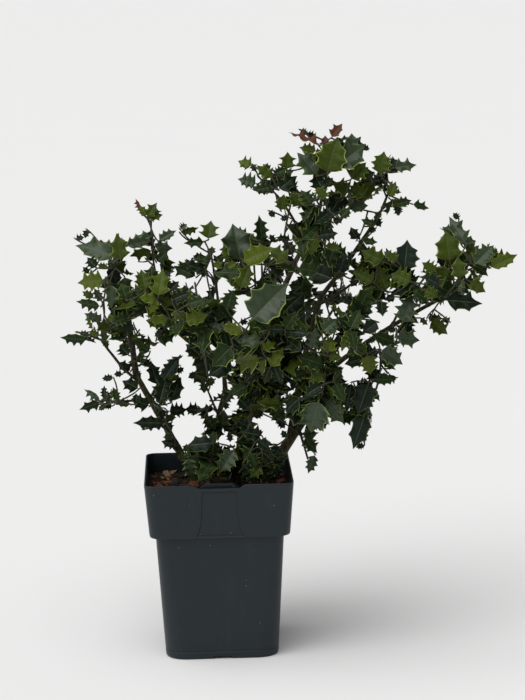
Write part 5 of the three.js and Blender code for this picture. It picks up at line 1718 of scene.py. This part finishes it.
def compost_mesh(lumps):
    bm = bmesh.new()
    bmesh.ops.create_grid(bm, x_segments=96, y_segments=96, size=1)
    for vert in bm.verts:
        spot = rounded_square(vert.co.x, vert.co.y, *compost_square(SOIL_LEVEL))
        vert.co = Vector((spot.x, spot.y, compost_height(spot.x, spot.y, lumps)))
    rim = [edge for edge in bm.edges if edge.is_boundary]
    for level in (158, POT["collar_foot"] + 5.5, POT["collar_foot"] + 1, 60, POT["floor"] + 0.4):
        made = bmesh.ops.extrude_edge_only(bm, edges=rim)["geom"]
        rim = [item for item in made if isinstance(item, bmesh.types.BMEdge)]
        for vert in (item for item in made if isinstance(item, bmesh.types.BMVert)):
            reach = max(abs(vert.co.x), abs(vert.co.y))
            spot = rounded_square(vert.co.x / reach, vert.co.y / reach, *compost_square(level))
            vert.co = Vector((spot.x, spot.y, level))
    bmesh.ops.holes_fill(bm, edges=rim, sides=0)
    bmesh.ops.recalc_face_normals(bm, faces=bm.faces)
    bmesh.ops.scale(bm, verts=bm.verts, vec=(MM, MM, MM))
    return bm


def within_wall(points):
    """Whether points lie inside the rounded square of the pot's wall at the compost."""
    half = collar_half(SOIL_LEVEL) - POT["wall"] - CHIP_GAP
    corner = collar_corner(SOIL_LEVEL)
    beyond = np.maximum(np.abs(points[:, :2]) - (half - corner), 0)
    return np.hypot(*beyond.T).max() < corner


def chips_object(name, materials, count, lumps, seed, lengths, widths, thicks, shares, least_out=0):
    """Small flat pieces that lie on the compost, each a block with its corners knocked about."""
    draw = random_stream(seed)
    corners = np.array([(x, y, z) for x in (-0.5, 0.5) for y in (-0.5, 0.5) for z in (-0.5, 0.5)])
    block = ((0, 1, 3, 2), (4, 6, 7, 5), (0, 4, 5, 1), (2, 3, 7, 6), (0, 2, 6, 4), (1, 5, 7, 3))
    points, faces, kinds = [], [], []
    half = collar_half(SOIL_LEVEL) - POT["wall"] - 5
    feet = [(plan["foot"], plan["radius"][0] + plan["flare"] + 1.5) for plan in STEMS.values()]
    while len(kinds) < 6 * count:
        x, y = half * (2 * draw() - 1), half * (2 * draw() - 1)
        long, wide, thick = lerp(*lengths, draw() ** 1.6), lerp(*widths, draw()), lerp(*thicks, draw())
        spin = Quaternion((0, 0, 1), 2 * math.pi * draw())
        tip = Quaternion((math.cos(9 * draw()), math.sin(9 * draw()), 0), 0.55 * (draw() - 0.3))
        jitter = np.array([[draw() - 0.5 for _ in range(3)] for _ in range(8)]) * (0.42, 0.42, 0.5)
        if abs(x) < least_out or any(math.dist((x, y), foot) < clear + long / 2 for foot, clear in feet):
            continue
        shape = (corners + jitter) * (long, long * wide, thick)
        turned = shape @ np.array((tip @ spin).to_matrix()).T
        turned += (x, y, compost_height(x, y, lumps) + thick * 0.25)
        if not within_wall(turned):
            continue
        first = 8 * (len(kinds) // 6)
        points.append(turned)
        faces += [[first + i for i in face] for face in block]
        pick, kind = draw() * sum(shares), 0
        while pick > shares[kind] and kind < len(shares) - 1:
            pick -= shares[kind]
            kind += 1
        kinds += [kind] * 6
    return joined_object(name, np.concatenate(points), faces, materials, 25, kinds)


class HOLLY_OT_make_compost(Operator):
    """Fills the pot with lumpy compost and scatters bark chips and crumbs on it"""

    bl_idname = "holly.make_compost"
    bl_label = "Make Compost"

    def execute(self, context):
        settings = context.scene.holly_compost
        colour = tuple(settings.colour)
        lumps = settings.lumps / MM
        sketch = Sketch("compost")
        crumbs = sketch.noise(420, 5, 0.65)
        damp = sketch.noise(40, 3)
        base = sketch.mix(crumbs, tint(colour, 0.35), tint(colour, 2.6))
        base = sketch.mix(damp * 0.5, base, tint(colour, 0.5))
        normal = sketch.bump(crumbs, 0.0012)
        earth = sketch.finish(base_color=base, roughness=crumbs * 0.2 + 0.7, normal=normal)
        stand_for(mesh_object("compost_bed", compost_mesh(lumps), [earth], 60), "compost", "soil")
        chips = [
            plain_material("chip_dark", (0.022, 0.013, 0.008), 0.8, 300, 0.6, 0.0004, 0.2),
            plain_material("chip_red", (0.2, 0.06, 0.022), 0.7, 300, 0.6, 0.0004, 0.3),
            plain_material("chip_tan", (0.22, 0.13, 0.07), 0.7, 300, 0.5, 0.0004),
            plain_material("moss_crumb", (0.05, 0.075, 0.02), 0.8, 300, 0.5, 0.0003),
        ]
        count = settings.chips
        for name, many, seed, lengths, widths, thicks, shares, least_out in (
            ("bark_chips", count, 71, (4, 14), (0.35, 0.8), (0.9, 2.4), (9, 1.6, 0.3, 0.4), 0),
            ("bark_shreds", count // 3, 73, (7, 22), (0.12, 0.3), (0.6, 1.6), (0.5, 5, 2.4, 0.9), 46),
            ("compost_crumbs", 3 * count, 72, (1.2, 3.6), (0.35, 0.8), (0.7, 1.8), (9, 1.4, 0.2, 0.6), 0),
        ):
            piece = chips_object(name, chips, many, lumps, seed, lengths, widths, thicks, shares, least_out)
            stand_for(piece, "compost")
        return {"FINISHED"}


# --- Stems and boughs ---


def bark_radius(limb, name, share, turn, relief):
    """Radius with lengthwise ridges, leaf scars and a collar where a bough springs."""
    plan = limb["plan"]
    radius = limb_radius(plan, share)
    run = share * plan["length"]
    seed = sum(map(ord, name))
    if name in BOUGHS:
        radius += 0.55 * math.exp(-run / 3.5)
    ridge, grain = (
        noise.noise(Vector((width * math.cos(turn), width * math.sin(turn), run / length + seed)))
        for width, length in ((1.3, 9), (3.1, 3))
    )
    spacing = 13 + seed % 5
    near = (run + seed % 9) % spacing - spacing / 2
    knot = math.exp(-(near / 1.3) ** 2)
    scar_turn = math.radians(TURN) * int((run + seed % 9) / spacing)
    scar = max(0, math.cos(turn - scar_turn)) ** 4
    return radius * (1 + relief * (ridge + 0.5 * grain)) + 0.12 * knot + 0.4 * knot * scar


def bark_tube(name, relief, bm, cap_material):
    """A limb as a grid rolled round its curve, with its seam merged and its ends closed."""
    limb = LIMBS[name]
    curve, plan = limb["curve"], limb["plan"]
    sides = 22 if name in STEMS else 14
    rings = max(8, int(plan["length"] / 2.2))
    part = bmesh.new()
    bmesh.ops.create_grid(part, x_segments=sides, y_segments=rings, size=0.5)
    level = level_across((curve.end - curve.start).normalized())
    seed = sum(map(ord, name))
    for vert in part.verts:
        share, turn = vert.co.y + 0.5, 2 * math.pi * (vert.co.x + 0.5)
        along = curve.along(share)
        over = level.cross(along).normalized()
        across = along.cross(over)
        radius = bark_radius(limb, name, share, turn, relief)
        run = share * plan["length"]
        hold = math.sin(math.pi * share)
        sway = [noise.noise(Vector((run / 21, *at))) for at in ((seed, 0), (0, seed))]
        spot = curve.at(share) + Vector((*sway, 0)) * (1.3 * hold)
        if name in STEMS and share == 0:
            spot -= UP * 3
        vert.co = (spot + across * (radius * math.cos(turn)) + over * (radius * math.sin(turn))) * MM
    bmesh.ops.remove_doubles(part, verts=part.verts, dist=1e-7)
    ends = [edge for edge in part.edges if edge.is_boundary]
    caps = bmesh.ops.holes_fill(part, edges=ends, sides=0)["faces"]
    bmesh.ops.recalc_face_normals(part, faces=part.faces)
    if name == "stem_right":
        top = max(caps, key=lambda face: face.calc_center_median().z)
        top.material_index = cap_material
    mesh = bpy.data.meshes.new("limb")
    part.to_mesh(mesh)
    part.free()
    bm.from_mesh(mesh)
    bpy.data.meshes.remove(mesh)


class HOLLY_OT_make_limbs(Operator):
    """Builds the stems and boughs with the relief of their bark"""

    bl_idname = "holly.make_limbs"
    bl_label = "Make Stems and Boughs"

    def execute(self, context):
        settings = context.scene.holly_bark
        shades = [tuple(shade) for shade in (settings.colour, settings.green, settings.streak)]
        bark = bark_material("stem_bark", *shades)
        young = bark_material("bough_bark", *(tint(shade, 0.6) for shade in shades))
        cut = plain_material("cut_wood", (0.24, 0.17, 0.1), 0.7, 200, 0.5, 0.0003)
        for name, names, skin in (("holly_stems", STEMS, bark), ("holly_boughs", BOUGHS, young)):
            bm = bmesh.new()
            for limb in names:
                bark_tube(limb, settings.relief, bm, 1)
            piece = mesh_object(name, bm, [skin, cut], 50)
            stand_for(piece, "bark", *names)
        return {"FINISHED"}


# --- Twigs, leaves and buds ---

TONES = ("dark", "mid", "olive", "young", "bronze", "sheen", "deep")
MARGIN_SHARES = {"dark": 0.55, "deep": 0.4, "mid": 0.75, "sheen": 0.8}     # of the margin's colour
# Real gloss of the leaves' upper sides. The sheeny tone gets more, and its colour also paints the sky's
# reflection as a paler, greyer green.
GLOSS, SHEEN_GLOSS = 0.12, 0.35


def leaf_tone(leaf):
    """Which colour a leaf takes, from its own place in the plan or from its mass's shares."""
    if "tone" in leaf:
        return leaf["tone"]
    shares = MASSES[leaf["mass"]]["tones"]
    pick = leaf["pick"] * sum(shares)
    for tone, share in zip(TONES, shares):
        if pick <= share:
            return tone
        pick -= share
    return TONES[0]


def leaves_object(tone, leaves, materials):
    leaves = sorted(leaves, key=lambda leaf: leaf["outline"])
    groups = [
        leaf_points(FULL_LEAVES[outline], [leaf for leaf in leaves if leaf["outline"] == outline])
        for outline in sorted({leaf["outline"] for leaf in leaves})
    ]
    points = np.concatenate(groups).reshape(-1, 3)
    template, faces, kinds = FULL_LEAVES["long"]
    count = len(template)
    every_face = [[i + n * count for i in face] for n in range(len(leaves)) for face in faces]
    piece = joined_object(f"leaves_{tone}", points, every_face, materials, 75, kinds * len(leaves))
    point_attribute(piece.data, "leaf_share", np.tile(template[:, 0], len(leaves)))
    point_attribute(piece.data, "leaf_side", np.tile(np.abs(template[:, 1]), len(leaves)))
    point_attribute(piece.data, "shade", np.repeat([leaf["shade"] * 0.5 for leaf in leaves], count))
    return piece


def twig_tube(twig):
    """A twig with slight swellings along it."""
    waves = 9 * twig["length"] / 12

    def radius(share):
        return lerp(*twig["radius"], share) * (1 + 0.1 * math.sin(waves * share))

    return tube_arrays(twig["curve"], radius, 7, max(3, int(twig["length"] / 5)))


def bud_tube(twig):
    """A pointed bud on the tip of a twig."""
    along, tip, thick = twig["curve"].along(1), twig["curve"].at(1), twig["radius"][1]

    def radius(share):
        return thick * (0.7 + 0.75 * math.sin(math.pi * min(1, share * 1.15 + 0.12)) - 0.45 * share)

    return tube_arrays(Bow(tip - along * 0.8, tip + along * 0.8, tip + along * 2.8), radius, 6, 4)


def tubes_object(name, tubes, material, smooth_angle):
    points, faces = joined(tubes)
    return joined_object(name, as_rows(points), faces, [material], smooth_angle)


class HOLLY_OT_make_foliage(Operator):
    """Grows the twigs, leaves and buds of every mass"""

    bl_idname = "holly.make_foliage"
    bl_label = "Make Foliage"

    def execute(self, context):
        settings = context.scene.holly_leaf
        garden = Garden()
        garden.grow()
        rib = plain_material("leaf_rib", tuple(settings.rib), 0.45, 90, 0.3)
        for tone in TONES:
            leaves = [leaf for leaf in garden.leaves if leaf_tone(leaf) == tone]
            if not leaves:
                continue
            colour, pale = tuple(getattr(settings, tone)), tint(settings.margin, MARGIN_SHARES.get(tone, 1))
            skins = [
                leaf_upper_material(f"leaf_{tone}", colour, SHEEN_GLOSS if tone == "sheen" else GLOSS),
                plain_material(f"leaf_{tone}_margin", pale, 0.45, 90, 0.25),
                rib,
                plain_material(f"leaf_{tone}_under", tint(colour, 1.15, 0.003), 0.62, 70, 0.25, 0.0002, 0.1),
            ]
            stand_for(leaves_object(tone, leaves, skins), "leaves")
        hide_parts(*MASSES)
        bark = plain_material("twig_bark", tuple(settings.twig), 0.55, 120, 0.5, 0.0002)
        stand_for(tubes_object("holly_twigs", map(twig_tube, garden.twigs), bark, 70), "bark")
        bud = plain_material("bud_scales", tuple(settings.bud), 0.5, 400, 0.4, 0.0002)
        stand_for(tubes_object("holly_buds", map(bud_tube, garden.twigs), bud, 60), "leaves")
        return {"FINISHED"}


# --- Stage ---


def soft_sun(name, source, spread, power):
    """A wide light from far off, so that the floor is evenly lit."""
    data = bpy.data.lights.new(name, "SUN")
    data.angle = math.radians(spread)
    data.energy = power
    lamp = bpy.data.objects.new(name, data)
    lamp.rotation_euler = (-Vector(source)).to_track_quat("-Z", "Y").to_euler()
    bpy.context.scene.collection.objects.link(lamp)


class HOLLY_OT_make_stage(Operator):
    """Lays a pale floor and sets up soft studio light and the camera"""

    bl_idname = "holly.make_stage"
    bl_label = "Make Stage"

    def execute(self, context):
        settings = context.scene.holly_stage
        floor_bm = bmesh.new()
        bmesh.ops.create_circle(floor_bm, cap_ends=True, segments=96, radius=40)
        sketch = Sketch("studio_floor")
        paper = sketch.noise(3, 2)
        pale = tuple(settings.floor)
        base = sketch.mix(paper, tint(pale, 0.985), pale)
        material = sketch.finish(base_color=base, roughness=0.9)
        mesh_object("studio_floor", floor_bm, [material], 40)
        world = bpy.data.worlds.new("studio")
        world.use_nodes = True
        back = world.node_tree.nodes["Background"]
        back.inputs["Color"].default_value = (1, 1, 1, 1)
        back.inputs["Strength"].default_value = settings.sky
        context.scene.world = world
        context.scene.view_settings.view_transform = "Standard"
        soft_sun("overhead_light", (-0.35, -0.3, 1), 70, settings.key_power)
        soft_sun("side_light", (-1, -0.7, 0.8), 40, settings.fill_power)
        data = bpy.data.cameras.new("camera")
        data.sensor_fit = "VERTICAL"
        data.sensor_height = FILM_HEIGHT
        data.lens = settings.lens
        data.clip_end = 200
        camera = bpy.data.objects.new("camera", data)
        axes = Matrix((VIEW_SIDE, VIEW_TOP, -VIEW_AHEAD)).transposed().to_4x4()
        camera.matrix_world = Matrix.Translation(Vector(CAMERA_SPOT) * MM) @ axes
        context.scene.collection.objects.link(camera)
        context.scene.camera = camera
        return {"FINISHED"}


# --- Panel and registration ---

OPERATORS = (
    HOLLY_OT_make_stage,
    HOLLY_OT_make_pot,
    HOLLY_OT_make_compost,
    HOLLY_OT_make_limbs,
    HOLLY_OT_make_foliage,
)
SETTINGS = {
    "holly_pot": HollyPotSettings,
    "holly_compost": HollyCompostSettings,
    "holly_bark": HollyBarkSettings,
    "holly_leaf": HollyLeafSettings,
    "holly_stage": HollyStageSettings,
}


class HOLLY_PT_panel(Panel):
    """Lists the steps and their settings"""

    bl_idname = "HOLLY_PT_panel"
    bl_label = "Potted Holly"
    bl_space_type = "VIEW_3D"
    bl_region_type = "UI"
    bl_category = "Holly"

    def draw(self, context):
        for operator in OPERATORS:
            self.layout.operator(operator.bl_idname)
        for key, group in SETTINGS.items():
            box = self.layout.box()
            for name in group.__annotations__:
                box.prop(getattr(context.scene, key), name)


def register():
    for group in (*SETTINGS.values(), *OPERATORS, HOLLY_PT_panel):
        bpy.utils.register_class(group)
    for key, group in SETTINGS.items():
        setattr(bpy.types.Scene, key, PointerProperty(type=group))


def unregister():
    for key in SETTINGS:
        delattr(bpy.types.Scene, key)
    for group in (HOLLY_PT_panel, *reversed(OPERATORS), *reversed(SETTINGS.values())):
        bpy.utils.unregister_class(group)


def main():
    register()
    bpy.ops.holly.make_stage()
    bpy.ops.holly.make_pot()
    bpy.ops.holly.make_compost()
    bpy.ops.holly.make_limbs()
    bpy.ops.holly.make_foliage()


if __name__ == "__main__":
    main()
